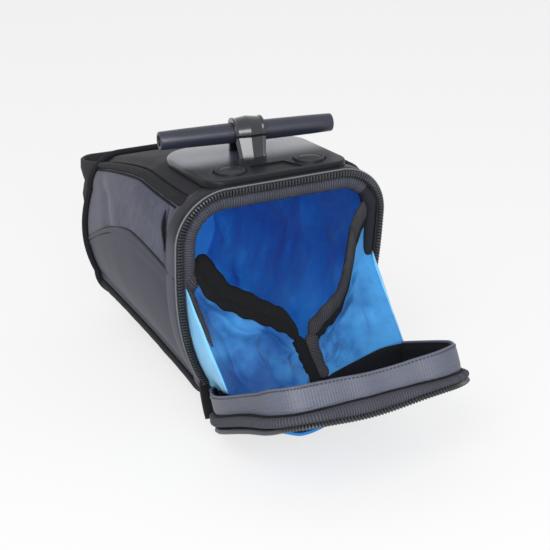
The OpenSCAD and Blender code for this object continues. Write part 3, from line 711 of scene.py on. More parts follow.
pick("edges", lambda m, e: abs(e.verts[0].co.xy.length - e.verts[1].co.xy.length) < 1e-6
     and all(abs(v.co.z) > (BAR_L / 2 - 0.1) * MM for v in e.verts))
bpy.ops.mesh.bevel(offset=BAR_RIM_R * MM, segments=4)
pick("verts", lambda m, v: True)
bpy.ops.transform.rotate(value=math.pi / 2, orient_axis="Y", center_override=(0, 0, 0))
bpy.ops.transform.translate(value=(0, 0, BAR_Z * MM))
end_piece(t_bar, CLIP_TURN)
fit(t_bar, bar_finish, "bar", "bar", "t_bar")

# %% [markdown]
# The clip plate is a flat moulding with round corners, wider ones towards the nose, and a soft lip all
# round. It starts as a block; its upright edges are bevelled to the corner radii and its top edge to the
# lip. The seat of the swivel disc, a groove round each rivet cap and a shallow bare field at the
# front are then cut with solids that go through the face.

# %% Clip plate
PLATE_W, PLATE_FRONT, PLATE_BACK, PLATE_T, PLATE_LIP = 68.0, 33.5, 24.0, 3.0, 1.1
PLATE_CORNERS = ((-PLATE_FRONT, 8), (PLATE_BACK, 16))
DISC_SEATS = ((11.55, -4.0, 1.0), (13.55, -4.0, -1.2))
CAP_X, CAP_Y, CAP_R, GROOVE_R, GROOVE_D = 19.0, -22.5, 6.5, 7.1, 0.55
FIELD_Y, FIELD_W, FIELD_L, FIELD_T, FIELD_TAPER = -24.5, 24, 12, 1.2, 0.68


def cut_away(piece, cutter):
    """Cuts a solid out of a piece and removes the solid."""
    apply(piece, "BOOLEAN", object=cutter, operation="DIFFERENCE", solver="EXACT")
    bpy.data.objects.remove(cutter)


clear_selection()
bpy.ops.mesh.primitive_cube_add(size=1, location=(0, (PLATE_BACK - PLATE_FRONT) / 2 * MM, -PLATE_T / 2 * MM))
bpy.context.object.scale = (PLATE_W * MM, (PLATE_FRONT + PLATE_BACK) * MM, PLATE_T * MM)
plate = start_piece("clip_plate")
for edge_y, radius in PLATE_CORNERS:
    pick("edges", lambda m, e: abs(m.y - edge_y) < 0.1 and abs(m.z + PLATE_T / 2) < 0.1
         and abs(m.x) > PLATE_W / 2 - 1)
    bpy.ops.mesh.bevel(offset=radius * MM, segments=10)
pick("edges", lambda m, e: all(abs(v.co.z) < 1e-6 for v in e.verts))
bpy.ops.mesh.bevel(offset=PLATE_LIP * MM, segments=4)
end_piece(plate)
for radius, low, high in DISC_SEATS:
    clear_selection()
    bpy.ops.mesh.primitive_cylinder_add(
        vertices=64, radius=radius * MM, depth=(high - low) * MM, location=(0, 0, (low + high) / 2 * MM))
    cut_away(plate, bpy.context.object)
for side in (-1, 1):
    clear_selection()
    bpy.ops.mesh.primitive_torus_add(location=(side * CAP_X * MM, CAP_Y * MM, 0), major_segments=64,
                                     minor_segments=10, major_radius=GROOVE_R * MM,
                                     minor_radius=GROOVE_D * MM)
    cut_away(plate, bpy.context.object)
clear_selection()
bpy.ops.mesh.primitive_cube_add(size=1, location=(0, FIELD_Y * MM, 0))
bpy.context.object.scale = (FIELD_W * MM, FIELD_L * MM, FIELD_T * MM)
field = start_piece("field")
pick("verts", lambda m, v: m.y > FIELD_Y)
bpy.ops.transform.resize(value=(FIELD_TAPER, 1, 1), center_override=(0, 0, 0))
end_piece(field)
cut_away(plate, field)
alone(plate)
bpy.ops.object.shade_smooth_by_angle(angle=math.radians(SMOOTH_DEG))
fit(plate, plate_finish, "bag", "plate", "mount_plate")

# %% [markdown]
# Two rivets hold the plate to the board inside. Each has a wide flat cap with a turned rim. One is
# modelled from a cylinder: the top is inset and raised a little for the crown, the underside is inset
# and drawn down into the shank and its head. The other is a copy with its own mesh.

# %% Rivets
CAP_T, CAP_EDGE_R, SHANK_R, SHANK_L, HEAD_L, HEAD_SHARE = 0.9, 0.35, 2.5, 4.6, 0.8, 1.7
CROWN_STEPS = ((0.8, 0), (0.35, -0.25), (0.35, 0.2), (2.5, 0.25))
clear_selection()
bpy.ops.mesh.primitive_cylinder_add(vertices=64, radius=CAP_R * MM, depth=CAP_T * MM,
                                    location=(0, 0, CAP_T / 2 * MM))
rivet = start_piece("rivet_left")
pick("faces", lambda m, f: len(f.verts) > 8 and m.z > CAP_T - 0.1)
for width, rise in CROWN_STEPS:
    bpy.ops.mesh.inset(thickness=width * MM, depth=rise * MM)
pick("faces", lambda m, f: len(f.verts) > 8 and m.z < 0.1)
bpy.ops.mesh.inset(thickness=(CAP_R - SHANK_R) * MM)
extrude(0, 0, -SHANK_L)
extrude(0, 0, -HEAD_L)
bpy.ops.transform.resize(value=(HEAD_SHARE, HEAD_SHARE, 1))
pick("edges", lambda m, e: all(v.co.z > (CAP_T - 0.05) * MM and v.co.xy.length > (CAP_R - 0.2) * MM
                               for v in e.verts))
bpy.ops.mesh.bevel(offset=CAP_EDGE_R * MM, segments=3)
end_piece(rivet)
twin = rivet.copy()
twin.data = rivet.data.copy()
twin.name = twin.data.name = "rivet_right"
bpy.context.collection.objects.link(twin)
for piece, side in ((rivet, -1), (twin, 1)):
    piece.data.transform(Matrix.Translation(Vector((side * CAP_X, CAP_Y, 0)) * MM))
    fit(piece, cap_finish, "bag", "rivet", "plate_rivets")

# %% [markdown]
# The strap loop holds the bar down. Its section has a raised edge on both sides and a soft crease along
# the middle, so that one half of its face shines and the other is dark. The section is cut from a plane,
# spun half a turn over the bar, and its two ends are drawn down to the feet in the swivel disc.

# %% Strap loop
LOOP_W, LOOP_IN, LOOP_OUT, LOOP_RISE, LOOP_EDGE_R, FOOT_Y = 13.8, 4.55, 6.35, 0.7, 0.22, 7.7
LOOP_CUTS, LOOP_SMOOTH_DEG = (-6.1, -5.4, 0, 5.4, 6.1), 12
LEG_STEPS = ((-0.1, -1.2, 1, 1), (0.85, -6.8, 0.87, 1), (0.25, -1.6, 1, 1.15), (0, -1.2, 1, 1))
loop_middle = (LOOP_IN + LOOP_OUT) / 2
clear_selection()
bpy.ops.mesh.primitive_plane_add(size=1, location=(0, -loop_middle * MM, BAR_Z * MM))
bpy.context.object.scale = (LOOP_W * MM, (LOOP_OUT - LOOP_IN) * MM, 1)
loop = start_piece("strap_loop_moulding")
slice_at(0, LOOP_CUTS)
for share, low, high in ((1.0, -0.1, 0.1), (0.45, 5.8, 7.0)):
    pick("verts", lambda m, v: m.y < -loop_middle and low < abs(m.x) < high)
    bpy.ops.transform.translate(value=(0, -share * LOOP_RISE * MM, 0))
bpy.ops.mesh.select_all(action="SELECT")
bpy.ops.mesh.spin(steps=24, angle=math.pi, center=(0, 0, BAR_Z * MM), axis=(1, 0, 0))
for side in (-1, 1):
    pick("faces", lambda m, f: all(abs(v.co.z - BAR_Z * MM) < 1e-5 for v in f.verts) and m.y * side > 3)
    lean = side * (FOOT_Y - loop_middle)
    for share, fall, wide, thick in LEG_STEPS:
        extrude(0, lean * share, fall)
        bpy.ops.transform.resize(value=(wide, thick, 1))
bpy.ops.mesh.select_all(action="SELECT")
bpy.ops.mesh.remove_doubles(threshold=1e-6)
end_piece(loop, CLIP_TURN, LOOP_SMOOTH_DEG)
apply(loop, "BEVEL", width=LOOP_EDGE_R * MM, segments=2, limit_method="ANGLE", angle_limit=math.radians(40))
bpy.ops.object.shade_smooth_by_angle(angle=math.radians(LOOP_SMOOTH_DEG))
fit(loop, loop_finish, "clip", "loop", "strap_loop")

# %% [markdown]
# The bag's panels are lofted shells of cloth 1.4 mm thick. They could be flat pieces sewn by a cloth
# simulation, but the seams have to stay on the measured lines, so each panel follows the form and gets
# its hollows, puckers and slack as small changes of depth.

# %% Panels
ROWS_Y = np.linspace(-MOUTH_Y, NOSE_Y, 161)[:, None]
PANEL_T, SLACK = 1.4, 0.35
ARCH_U, ARCH_BEND, ARCH_AT, ARCH_LAP = 2.15, 0.78, 0.28, 0.03


def arch_u(y):
    """The arched seam above the smooth lower patch."""
    return ARCH_U + ARCH_BEND * (depth_share(y) - ARCH_AT) ** 2


def inside(u):
    """1 in a panel's middle and 0 on its two seams."""
    across_panel = (u - u[:, :1]) / (u[:, -1:] - u[:, :1])
    return 1 - (2 * across_panel - 1) ** 6


def panel(name, u, depth):
    """A shell over rows of u at each station, thickened inwards; depth moves the skin in."""
    slack = SLACK * cloud(skin(u, ROWS_Y), 26, 3.1) * inside(u)
    piece = cloth(name, skin(u, ROWS_Y, depth + slack))
    thicken(piece, PANEL_T)
    return piece


print("panels with", len(ROWS_Y), "rows")

# %% [markdown]
# The top and the base are one strip of cloth each. A flank is two: streaked ripstop above, and below the
# arched seam a smooth patch that laps over it with a small lip. Beside the mouth the ripstop puckers, and
# towards the nose it hangs in slack folds.

# %% Top, base and flanks
PUCKER_U, PUCKER_Y = (1.55, 1.67, 1.94, 2.06, 2.16), (-17, -18, -22.5, -24, -26)


def flank_depth(u, y):
    """The flank's pucker beside the mouth and its slack folds towards the nose."""
    line = np.interp(u, PUCKER_U, PUCKER_Y)
    pucker = 2.4 * bell(y - line, 1.9) * smooth_step(u, 1.55, 1.7) * (1 - smooth_step(u, 2.0, 2.16))
    fold = 1.2 * bell(y - 68 + 60 * (u - 2.1), 9) * bell(u - 2.05, 0.32)
    return pucker + fold - 0.5 * bell(y - 50 + 60 * (u - 2.1), 9) * bell(u - 2.05, 0.3)


top_u = np.tile(np.linspace(-SEAM_U, SEAM_U, 61), (len(ROWS_Y), 1))
top_depth = 0.8 * bell(np.abs(top_u) - 1.28, 0.07) * smooth_step(ROWS_Y, -30, -10)
top = panel("top_cloth", top_u, top_depth + 0.6 * bell(ROWS_Y - 30, 9) * inside(top_u))
fit(top, black_cloth, "bag", "black_cloth", "top_panel")
base_u = np.tile(np.linspace(BASE_SEAM_U, 10 - BASE_SEAM_U, 51), (len(ROWS_Y), 1))
base = panel("base_cloth", base_u, 0)
fit(base, black_cloth, "bag", "black_cloth", "bottom_panel")
arch = arch_u(ROWS_Y)
upper = mix(SEAM_U, arch + ARCH_LAP, np.linspace(0, 1, 45))
lower = mix(arch, BASE_SEAM_U, np.linspace(0, 1, 61))
drop = (lower - arch) * 70
lip = 0.35 * bell(drop - 3.2, 0.6) - 0.6 * (1 - smooth_step(drop, 2.0, 9.0))
for side, word in SIDES:
    for name, u, depth, finish, slot in (
            ("side", upper, flank_depth(upper, ROWS_Y), side_cloth, "ripstop"),
            ("lower", lower, lip, lower_cloth, "coated_cloth")):
        if side < 0:
            u, depth = 10 - u[:, ::-1], depth[:, ::-1]
        made = panel(f"{word}_{name}_cloth", u, depth)
        fit(made, finish, "bag", slot, f"{word}_{name}_panel")

# %% [markdown]
# The nose is one black panel that rounds in from the skin to a slightly domed end. Rings are drawn from
# the skin's edge round the bend and on towards the middle, and the last small ring is closed by a cap.

# %% Nose
SPAN_POINTS = (10, 14, 24, 12, 10)
HALF_U = np.concatenate([[0]] + [np.linspace(k, k + 1, n)[1:] for k, n in enumerate(SPAN_POINTS)])
ROUND_U = np.concatenate([HALF_U, 10 - HALF_U[-2:0:-1]])


def nose_rings(d, dome):
    """Rings at a depth d: round the bend, then over the end, which is domed by this much."""
    bend = np.radians(np.linspace(0, 90, 10))
    reach = NOSE_R - d
    rings = [skin(ROUND_U, NOSE_Y + reach * math.sin(a), NOSE_R - reach * math.cos(a)) for a in bend]
    middle = np.array([0, NOSE_Y + reach, TOP_Z + (NOSE_LIFT - NOSE_DROP - MOUTH_H) / 2])
    edge = rings[-1]
    for share in np.linspace(0.08, 0.97, 14):
        ring = mix(edge, middle, share)
        ring[:, 1] = NOSE_Y + reach + dome * (1 - (1 - share) ** 2)
        rings.append(ring)
    return np.array(rings)


nose_points = nose_rings(0, 1.5)
ring_number = np.arange(len(nose_points))[:, None]
nose_points[:, :, 1] += 0.5 * cloud(nose_points, 22, 5.0) * smooth_step(ring_number, 3, 9)
nose = cloth("nose_cloth", nose_points, wrap=True, caps="end")
thicken(nose, PANEL_T)
fit(nose, black_cloth, "bag", "black_cloth", "nose_panel")

# %% [markdown]
# The seams are covered by folded welts: broad soft strips that stand a little proud of the skin. A half
# round section is swept along the bag at each seam, and once round the nose. The strip's lower side lies
# in the skin, so that no gap shows. Thin dark cords draw the arch's seam and its second row of stitches.
# Other black cords are painted shade: two beside the top welt stand for the shadow lines below and above
# it, and one in the tuck in the flank beside the mouth stands for the shade in that crease.

# %% Welts
WELT_ACROSS = np.array([-1, -0.92, -0.7, -0.35, 0, 0.35, 0.7, 0.92, 1, 0.6, -0.6])
WELT_LIFT = np.array([0.1, 0.42, 0.75, 0.95, 1, 0.95, 0.75, 0.42, 0.1, -0.25, -0.25])
WELT_H, WELT_END = 2.1, NOSE_Y + 1.5


def seam_welt(u0, width, start):
    """Rings of a half round strip along the skin at u0, from a station to the nose."""
    y = np.linspace(start, WELT_END, 90)[:, None]
    radius = CORNER_R if abs(u0 - 5) > 2 else BASE_R
    fade = smooth_step(y, start - 1, start + 8)
    u = u0 + WELT_ACROSS * width / 2 / (math.pi / 2 * radius)
    points = skin(u, y, -WELT_H * WELT_LIFT * (0.35 + 0.65 * fade))
    return points + 0.12 * cloud(points, 7, u0)[..., None]


def seam_line(name, us, ys, radius, finish):
    """A thin dark cord that lies half in the skin along the points u, y."""
    path = skin(us, ys)
    out = unit(skin(us, ys, -1.0) - path)
    beside = unit(np.cross(np.gradient(path, axis=0), out))
    a = ring_angles(8)[None, :, None]
    around = np.cos(a) * out[:, None] + np.sin(a) * beside[:, None]
    rings = path[:, None] + np.reshape(radius, (-1, 1, 1)) * around
    fit(cloth(name, rings, True, "both"), finish, "bag", "piping")


seam_y = np.linspace(-24, NOSE_Y, 90)
stitch_y = np.linspace(38, NOSE_Y, 40)
stitch_r = 0.45 * smooth_step(stitch_y, 38, 60)
tuck = np.linspace(0, 1, 30)
tuck_r = 0.15 + 0.75 * np.sin(math.pi * tuck)
WELTS = (("top", SEAM_U, 4.8, -27.0), ("base", BASE_SEAM_U - 0.1, 7.6, -34.0))
# Painted shade: the two black cords beside the top welt stand for the shadow lines below and above it.
CORDS = (("below_welt_shadow", SEAM_U + 0.1 + 0 * seam_y, seam_y, 0.6, binding_cloth),
         ("above_welt_shadow", SEAM_U - 0.1 + 0 * seam_y, seam_y, 0.45, binding_cloth),
         ("arch_seam", arch_u(seam_y), seam_y, 0.45, piping_cloth),
         ("arch_stitch", arch_u(stitch_y) + 0.045, stitch_y, stitch_r, piping_cloth),
         # Painted shade: the tuck's black cord stands for the shade in the flank's crease.
         ("tuck", 1.66 + 0.42 * tuck, -17.5 - 6.5 * tuck, tuck_r, binding_cloth))
for side, word in SIDES[::-1]:
    for seam, u0, width, start in WELTS:
        welt = cloth(f"{word}_{seam}_welt", seam_welt(sided(u0, side), width, start), True, "both")
        fit(welt, piping_cloth, "bag", "piping", f"{word}_piping")
    for seam, us, ys, radius, finish in CORDS:
        seam_line(f"{word}_{seam}", sided(us, side), ys, radius, finish)
turn = ring_angles(12)
bend_y = NOSE_Y + 1.9 + 2.3 * np.cos(turn)
bend_d = NOSE_R - np.sqrt(NOSE_R ** 2 - np.maximum(0, bend_y - NOSE_Y) ** 2)
nose_ring = skin(ROUND_U[:, None], bend_y, bend_d - 0.9 - 2.1 * np.sin(turn))
ring_welt = cloth("nose_welt", np.concatenate([nose_ring, nose_ring[:1]]), True)
fit(ring_welt, piping_cloth, "bag", "piping", "nose_piping")

# %% [markdown]
# A strap goes round the seatpost. It is folded flat behind the nose and held by a keeper that is sewn
# on above and below. Both are lengths of webbing: a thin flat section swept along a path.

# %% Seatpost strap and keeper
def ribbon(name, path, width_dir, width, thickness, closed=False, dent=0.0):
    """A webbing strip along a path of points; width_dir is across it, dent hollows its middle."""
    path = np.asarray(path, float)
    ahead = np.roll(path, -1, 0) - np.roll(path, 1, 0)
    if not closed:
        ahead[0], ahead[-1] = path[1] - path[0], path[-1] - path[-2]
    out = unit(np.cross(ahead, width_dir))
    half = np.array([-0.5, -0.48, -0.3, -0.1, 0.0, 0.1, 0.3, 0.48, 0.5])
    lift = np.array([0.2, 0.5, 0.5, 0.5, 0.5, 0.5, 0.5, 0.5, 0.2]) * thickness
    hollow = dent * np.array([0.3, 0.2, 0, 0.6, 1, 0.6, 0, 0.2, 0.3])
    a = np.concatenate([half, half[::-1]])[None, :, None] * width
    b = np.concatenate([lift - hollow, -lift - hollow])[None, :, None]
    rings = path[:, None] + a * np.asarray(width_dir, float) + b * out[:, None]
    if closed:
        rings = np.concatenate([rings, rings[:1]])
    piece = cloth(name, rings, True, "" if closed else "both")
    face_out(piece)
    return piece


STRAP_Z = TOP_Z - NOSE_DROP - NOSE_CORNER_R
STRAP_Y, STRAP_HALF, STRAP_R, STRAP_W, STRAP_T = NOSE_Y + NOSE_R + 0.4, 24.5, 9, 24, 1.9
KEEPER_W, KEEPER_T = 25, 1.3
KEEPER_UP = [[0, 0.7, 17], [0, 0.7, 14.5], [0, 1.2, 13.4], [0, 2.2, 13.0], [0, 3.1, 12.4], [0, 3.5, 11]]
bow = np.radians(np.linspace(-90, 90, 25))
bend = np.stack([STRAP_HALF + STRAP_R * np.cos(bow), STRAP_R + 1 + STRAP_R * np.sin(bow)], -1)
straight = np.linspace(STRAP_HALF, -STRAP_HALF, 25)[1:-1]
far_side = np.stack([straight, 0 * straight + 2 * STRAP_R + 1], -1)
near_side = np.stack([-straight, 0 * straight + 1], -1)
flat_loop = np.concatenate([bend, far_side, bend[::-1] * [-1, 1], near_side])
slack = 0.8 * np.sin(flat_loop[:, 0] / 9) * smooth_step(flat_loop[:, 1], 12, 19)
strap_path = np.stack([flat_loop[:, 0], STRAP_Y + flat_loop[:, 1] - np.abs(slack), 0 * slack + STRAP_Z], -1)
strap = ribbon("seatpost_webbing", strap_path, (0, 0, 1), STRAP_W, STRAP_T, closed=True, dent=1.6)
fit(strap, strap_cloth, "bag", "strap", "seatpost_strap")
keeper_path = np.array(KEEPER_UP + [[0, 3.5, z] for z in np.linspace(9, -9, 9)]
                       + [[0, p[1], -p[2]] for p in KEEPER_UP[::-1]])
keeper_path = keeper_path + [0, NOSE_Y + NOSE_R, STRAP_Z]
keeper = ribbon("keeper_webbing", keeper_path, (1, 0, 0), KEEPER_W, KEEPER_T)
fit(keeper, strap_cloth, "bag", "black_cloth", "strap_keeper")

# %% [markdown]
# Round the mouth run, from outside to inside: a smooth facing, a thin pale edge, the zip's black tape
# with its coil of teeth, and a thick roll of ribbed binding. All follow the rim, so their sections are
# given as insets and distances in front of it, at steps of even length along it.

# %% Mouth facing, tape and edge
def rim_steps(start, end, step):
    """Values of u at even steps in mm along the rim."""
    fine = np.linspace(start, end, 1500)
    run = run_length(rim(fine, 0, 0)[:, None])
    return np.interp(np.linspace(0, run[-1], int(run[-1] / step) + 1), run, fine)


def rim_sweep(name, us, section, lid=False):
    """A closed section of insets and fronts, the same or one row for each u, swept along the rim."""
    points = rim(us[:, None], section[..., 0], section[..., 1])
    return cloth(name, opened(points) if lid else points, True, "both")


def oval(inset, front, wide, high, count):
    """A section round a middle at this inset and front."""
    a = ring_angles(count)
    return np.stack([inset + wide * np.cos(a), front + high * np.sin(a)], -1)


TAPE_SECTION = np.array([[0.1, 0], [0.1, 0.5], [0.5, 0.75], [3, 0.75], [3.3, 0.4], [3.3, 0]])
facing_y = np.array([-36.2, -35.6, -33, -30, -27.5, -26.2, -25.6])
facing_d = np.array([0.5, -0.35, -0.6, -0.6, -0.55, -0.3, 0.3])
facing = cloth("mouth_facing", skin(rim_steps(-3.3, 3.3, 2.0)[:, None], facing_y, facing_d)[::-1])
thicken(facing, 0.5)
fit(facing, facing_cloth, "bag", "coated_cloth")
rim_u = rim_steps(-3.32, 3.32, 1.5)
tape = rim_sweep("mouth_tape", rim_u, TAPE_SECTION)
fit(tape, tape_cloth, "bag", "zip_tape", "mouth_zip_tape")
edge = rim_sweep("mouth_edge", rim_u, oval(-0.2, 0.15, 0.38, 0.45, 8))
fit(edge, edge_cloth, "bag", "piping")

# %% [markdown]
# The zip's teeth are one shape repeated: a small rounded block. It is modelled once from a cube with
# bevelled edges, and its points are then placed at each step along the rim, square to the tape.

# %% Zip teeth
clear_selection()
bpy.ops.mesh.primitive_cube_add(size=1)
tooth = start_piece("tooth")
bpy.ops.mesh.select_all(action="SELECT")
bpy.ops.mesh.bevel(offset=0.22, segments=1)
end_piece(tooth)
tooth_points = np.array([v.co for v in tooth.data.vertices])
tooth_faces = [list(f.vertices) for f in tooth.data.polygons]
bpy.data.objects.remove(tooth)


def repeated(name, centres, axes, size):
    """Copies of the tooth in one mesh: centres in mm, three axes for each, and its size along them."""
    local = tooth_points * size
    points = centres[:, None] + np.einsum("pk,nkc->npc", local, axes)
    count = len(tooth_points)
    faces = [[k + n * count for k in f] for n in range(len(centres)) for f in tooth_faces]
    mesh = bpy.data.meshes.new(name)
    mesh.from_pydata((points.reshape(-1, 3) * MM).tolist(), [], faces)
    mesh.uv_layers.new(name="cut")
    piece = bpy.data.objects.new(name, mesh)
    bpy.context.collection.objects.link(piece)
    face_out(piece)
    return piece


def rim_axes(us):
    """Directions along the rim, inwards and forwards at each u."""
    along = unit(rim(us + 0.004, 0, 0) - rim(us - 0.004, 0, 0))
    inward = unit(rim(us, 1, 0) - rim(us, 0, 0))
    return np.stack([along, inward, unit(np.cross(inward, along))], 1)


TOOTH_STEP = 1.45
tooth_u = rim_steps(-ZIP_END_U, ZIP_END_U, TOOTH_STEP)
teeth = repeated("mouth_teeth", rim(tooth_u, 1.5, 1.45), rim_axes(tooth_u), np.array([0.95, 2.5, 1.4]))
fit(teeth, teeth_finish, "bag", "zip_teeth", "mouth_zip_teeth")

# %% [markdown]
# The binding inside the mouth is a ribbed tape rolled over the raw edges. Its ribs are modelled, since
# they show along the roll's outline: the oval section swells and shrinks once each rib. Near the right
# top corner the roll is gathered into a smooth knuckle where the gusset's edge joins it. The knuckle is
# black as painted shade, since the roll runs on there along the right rim in shadow.

# %% Mouth roll
RIB = 1.2


def ribbed_roll(name, start, end, inset, front, wide, high, plain, lumps=0.0):
    """An oval roll along the rim; plain(u) goes from 0, ribbed, to 1, smooth."""
    us = rim_steps(start, end, RIB / 4)
    rib = 0.1 * rib_wave(len(us)) * (1 - plain(us))
    swell = 1 + rib + lumps * bell(us - 1.75, 0.13)
    taper = np.minimum(smooth_step(us, start, start + 0.12), 1 - smooth_step(us, end - 0.12, end)) * 0.6 + 0.4
    a = ring_angles(14)
    section = np.stack([inset + (wide * swell * taper)[:, None] * np.cos(a),
                        front + (high * swell * taper)[:, None] * np.sin(a)], -1)
    return rim_sweep(name, us, section)


roll = ribbed_roll("mouth_roll", -3.6, 1.62, 6.0, -0.9, 2.9, 2.3, lambda u: smooth_step(u, 1.3, 1.5))
fit(roll, roll_cloth, "bag", "ribbed_binding", "mouth_binding")
# Painted shade: the knuckle takes the black cloth where the same roll lies in shadow.
shaded_knuckle = ribbed_roll("mouth_knuckle_in_shade", 1.38, 3.6, 6.1, -0.8, 2.8, 2.5, lambda u: 1 + 0 * u, lumps=0.3)
fit(shaded_knuckle, black_cloth, "bag", "ribbed_binding", "mouth_binding")

# %% [markdown]
# The lining is a loose bag of thin blue nylon. It hangs inside the foam, so it has soft hanging folds
# and wrinkles that never repeat. The shell follows the skin at its depth, and noise of two sizes with
# a few drawn folds moves it inwards, never out into the foam.

# %% Lining
LINING_D, LINING_T = 2.7, 0.7
lining_y = np.linspace(-34.5, NOSE_Y, 70)[:, None]
wall = skin(ROUND_U, lining_y, LINING_D)
reach = smooth_step(lining_y, -34, -12)
slack = np.maximum(0, cloud(wall, 34, 1.7) + 0.35) * 4.0 + np.maximum(0, cloud(wall, 13, 7.9)) * 1.4
slack = slack + 2.4 * (1 - np.abs(cloud(wall, 30, 4.4))) ** 6
folds = 2.5 * bell(lining_y + 16 - 9 * (ROUND_U - 7.8), 4) * bell(ROUND_U - 7.9, 0.5)
folds = folds + 2.2 * bell(lining_y - 12 + 30 * (ROUND_U - 0.6), 7) * bell(ROUND_U - 0.7, 0.5)
lining_wall = skin(ROUND_U, lining_y, LINING_D + (slack + folds) * reach)
lining_end = nose_rings(LINING_D + 0.5, -1.0)
sag = (cloud(lining_end, 24, 2.2) + 1) * smooth_step(ring_number, 0, 10)
lining_end[:, :, 1] -= 1.5 + 1.5 * sag
lining = cloth("lining", np.concatenate([lining_wall, lining_end[4:]]), True, "end")
thicken(lining, LINING_T)
fit(lining, lining_cloth, "bag", "lining", "body_lining")

# %% [markdown]
# On each side a gusset joins the mouth to the lid. Its outer web fans out between the rim and the lid's
# band, folds along a straight edge, and comes back as a loose inner sheet with a bound edge. The two
# bound edges meet in the middle and run down to the lid as a stem. The sheet is a patch stretched
# between four curves, with soft creases that fade out at its edges. A cloth simulation could drape it,
# but its fold and its edges are seen at known places, so these curves hold it.

# %% Gusset curves
def curve(points, count):
    """A smooth curve through points."""
    p = np.asarray(points, float)
    p = np.concatenate([2 * p[:1] - p[1:2], p, 2 * p[-1:] - p[-2:-1]])
    t = np.linspace(0, len(p) - 3 - 1e-9, count)
    k = t.astype(int)
    f = (t - k)[:, None]
    a, b, c, d = (p[k + n] for n in range(4))
    cubic = (3 * b - a - 3 * c + d) * f ** 3
    return 0.5 * (2 * b + (c - a) * f + (2 * a - 5 * b + 4 * c - d) * f ** 2 + cubic)


def on_lid(x, up, front):
    """A point over the open lid: up from its base, and in front of the mouth's plane when shut."""
    lean = MOUTH_LEAN * (up - MOUTH_H) / MOUTH_H
    return opened(np.array([x, lean - MOUTH_Y - front, TOP_Z - MOUTH_H + up]))


CELLS = 61
BOUND = {
    -1: [(-39.5, -29.5, -32.5), (-32.5, -36.5, -45.5), (-23.2, -40.5, -52.0), (-13.2, -44.1, -57.6),
         (-6.2, -47.0, -62.6), (-2.8, -49.4, -69.3)],
    1: [(41.0, -33.0, -22.0), (33.5, -35.5, -32.4), (27.5, -40.1, -47.6), (20.2, -43.8, -59.1),
        (11.5, -46.2, -64.0), (2.8, -49.4, -69.3)]}
FOLD_FRONT = {-1: -4.6, 1: -8.1}
FOLD_FOOT = {-1: opened(rim(-2.5, 5.5, FOLD_FRONT[-1])), 1: opened(rim(2.5, 5.8, FOLD_FRONT[1]))}
FOOT = {-1: [(-35, 43, 0.5), (-22, 45, 3.5), (-10, 45, 3.0)],
        1: [(31, 45, -8.2), (18, 45, -5.6), (7, 45, -3.2)]}
FOOT_FRONT = {-1: 2.5, 1: -1.5}
BOW = {-1: 0.9, 1: -1.6}
GUSSET_T = 0.5


def mirrored(points, side):
    """Points of the right side, brought to the given side."""
    return np.asarray(points, float) * [side, 1, 1]


print("bound edges meet at", BOUND[1][-1])

# %% [markdown]
# The patch mixes its two pairs of opposite curves and takes away the four corners, which both pairs
# count. Each sheet's flat size is measured on its own points, along its rows and columns.

# %% Gusset sheets and webs
def patch(side):
    """The inner sheet's points: columns run from the fold to the stem, rows from the bound edge down."""
    bound = curve(BOUND[side], CELLS)
    top = mirrored((45.0, -31.0, -46.0), side)
    fold = curve([bound[0], mirrored((43.8, -29.5, -37.5), side), top, mix(top, FOLD_FOOT[side], 0.5),
                  FOLD_FOOT[side]], CELLS)
    stem_foot = on_lid(2.4 * side, 44, FOOT_FRONT[side])
    stem = curve([bound[-1], mirrored((2.6, -55.5, -76.9), side), mirrored((2.4, -61.8, -82.0), side),
                  stem_foot], CELLS)
    foot = curve([FOLD_FOOT[side], *(on_lid(*point) for point in FOOT[side]), stem_foot], CELLS)
    s = np.linspace(0, 1, CELLS)[None, :, None]
    t = np.linspace(0, 1, CELLS)[:, None, None]
    corners = mix(mix(bound[0], bound[-1], s), mix(fold[-1], stem[-1], s), t)
    flat = mix(fold[:, None], stem[:, None], s) + mix(bound, foot, t) - corners
    facing = unit(np.cross(np.gradient(flat, axis=1), np.gradient(flat, axis=0)))
    facing = facing * np.where(facing[..., 1:2] > 0, -1, 1)
    s, t = s[..., 0], t[..., 0]
    held = smooth_step(t, 0.14, 0.42) * (1 - smooth_step(t, 0.8, 1))
    held = held * smooth_step(s, 0.02, 0.3) * (1 - smooth_step(s, 0.8, 0.97))
    hang = np.stack([s * 3.4 + t * 0.9, t * 0.9 - s, 0 * s * t], -1)
    pull = np.stack([s * 2 + t * 2.2, s * 2.6 - t, 0 * s * t], -1)
    crease = 4.0 * cloud(hang, 1, 4.0 + side) + 2.1 * bell(cloud(pull, 1, 9.0 + side), 0.12)
    crease = crease - 1.8 * bell(cloud(pull, 1, 5.3), 0.1)
    return flat + facing * (held * crease)[..., None], facing


SHEETS = {side: patch(side) for side in (-1, 1)}
web_k = np.linspace(0, 1, 31)
for side, word in SIDES:
    points, facing = SHEETS[side]
    sheet = cloth(f"{word}_gusset_sheet", points)
    thicken(sheet, GUSSET_T, 0)
    fit(sheet, gusset_cloth, "fold", "gusset", f"{word}_gusset")
    mouth_line = rim(side * mix(2.28, 3.25, web_k), 4.0, 1.2)
    lid_front = mix(FOLD_FRONT[side], 0.0, web_k ** 1.5)
    lid_line = opened(rim(side * mix(2.5, 3.25, web_k), mix(5.6, 8.5, web_k), lid_front))
    share = np.linspace(0, 1, 25)[None, :, None]
    fan = mix(mouth_line[:, None], lid_line[:, None], share)
    bow = np.sin(math.pi * share[..., 0])
    arc = np.sin(math.pi * np.sqrt(web_k))[:, None]
    fan[..., 0] += side * bow * (BOW[side] * arc + 0.6 * cloud(fan, 11, 6.0))
    web = cloth(f"{word}_gusset_fan", fan)
    thicken(web, GUSSET_T, 0)
    fit(web, web_cloth, "fold", "gusset_web", f"{word}_gusset_web")

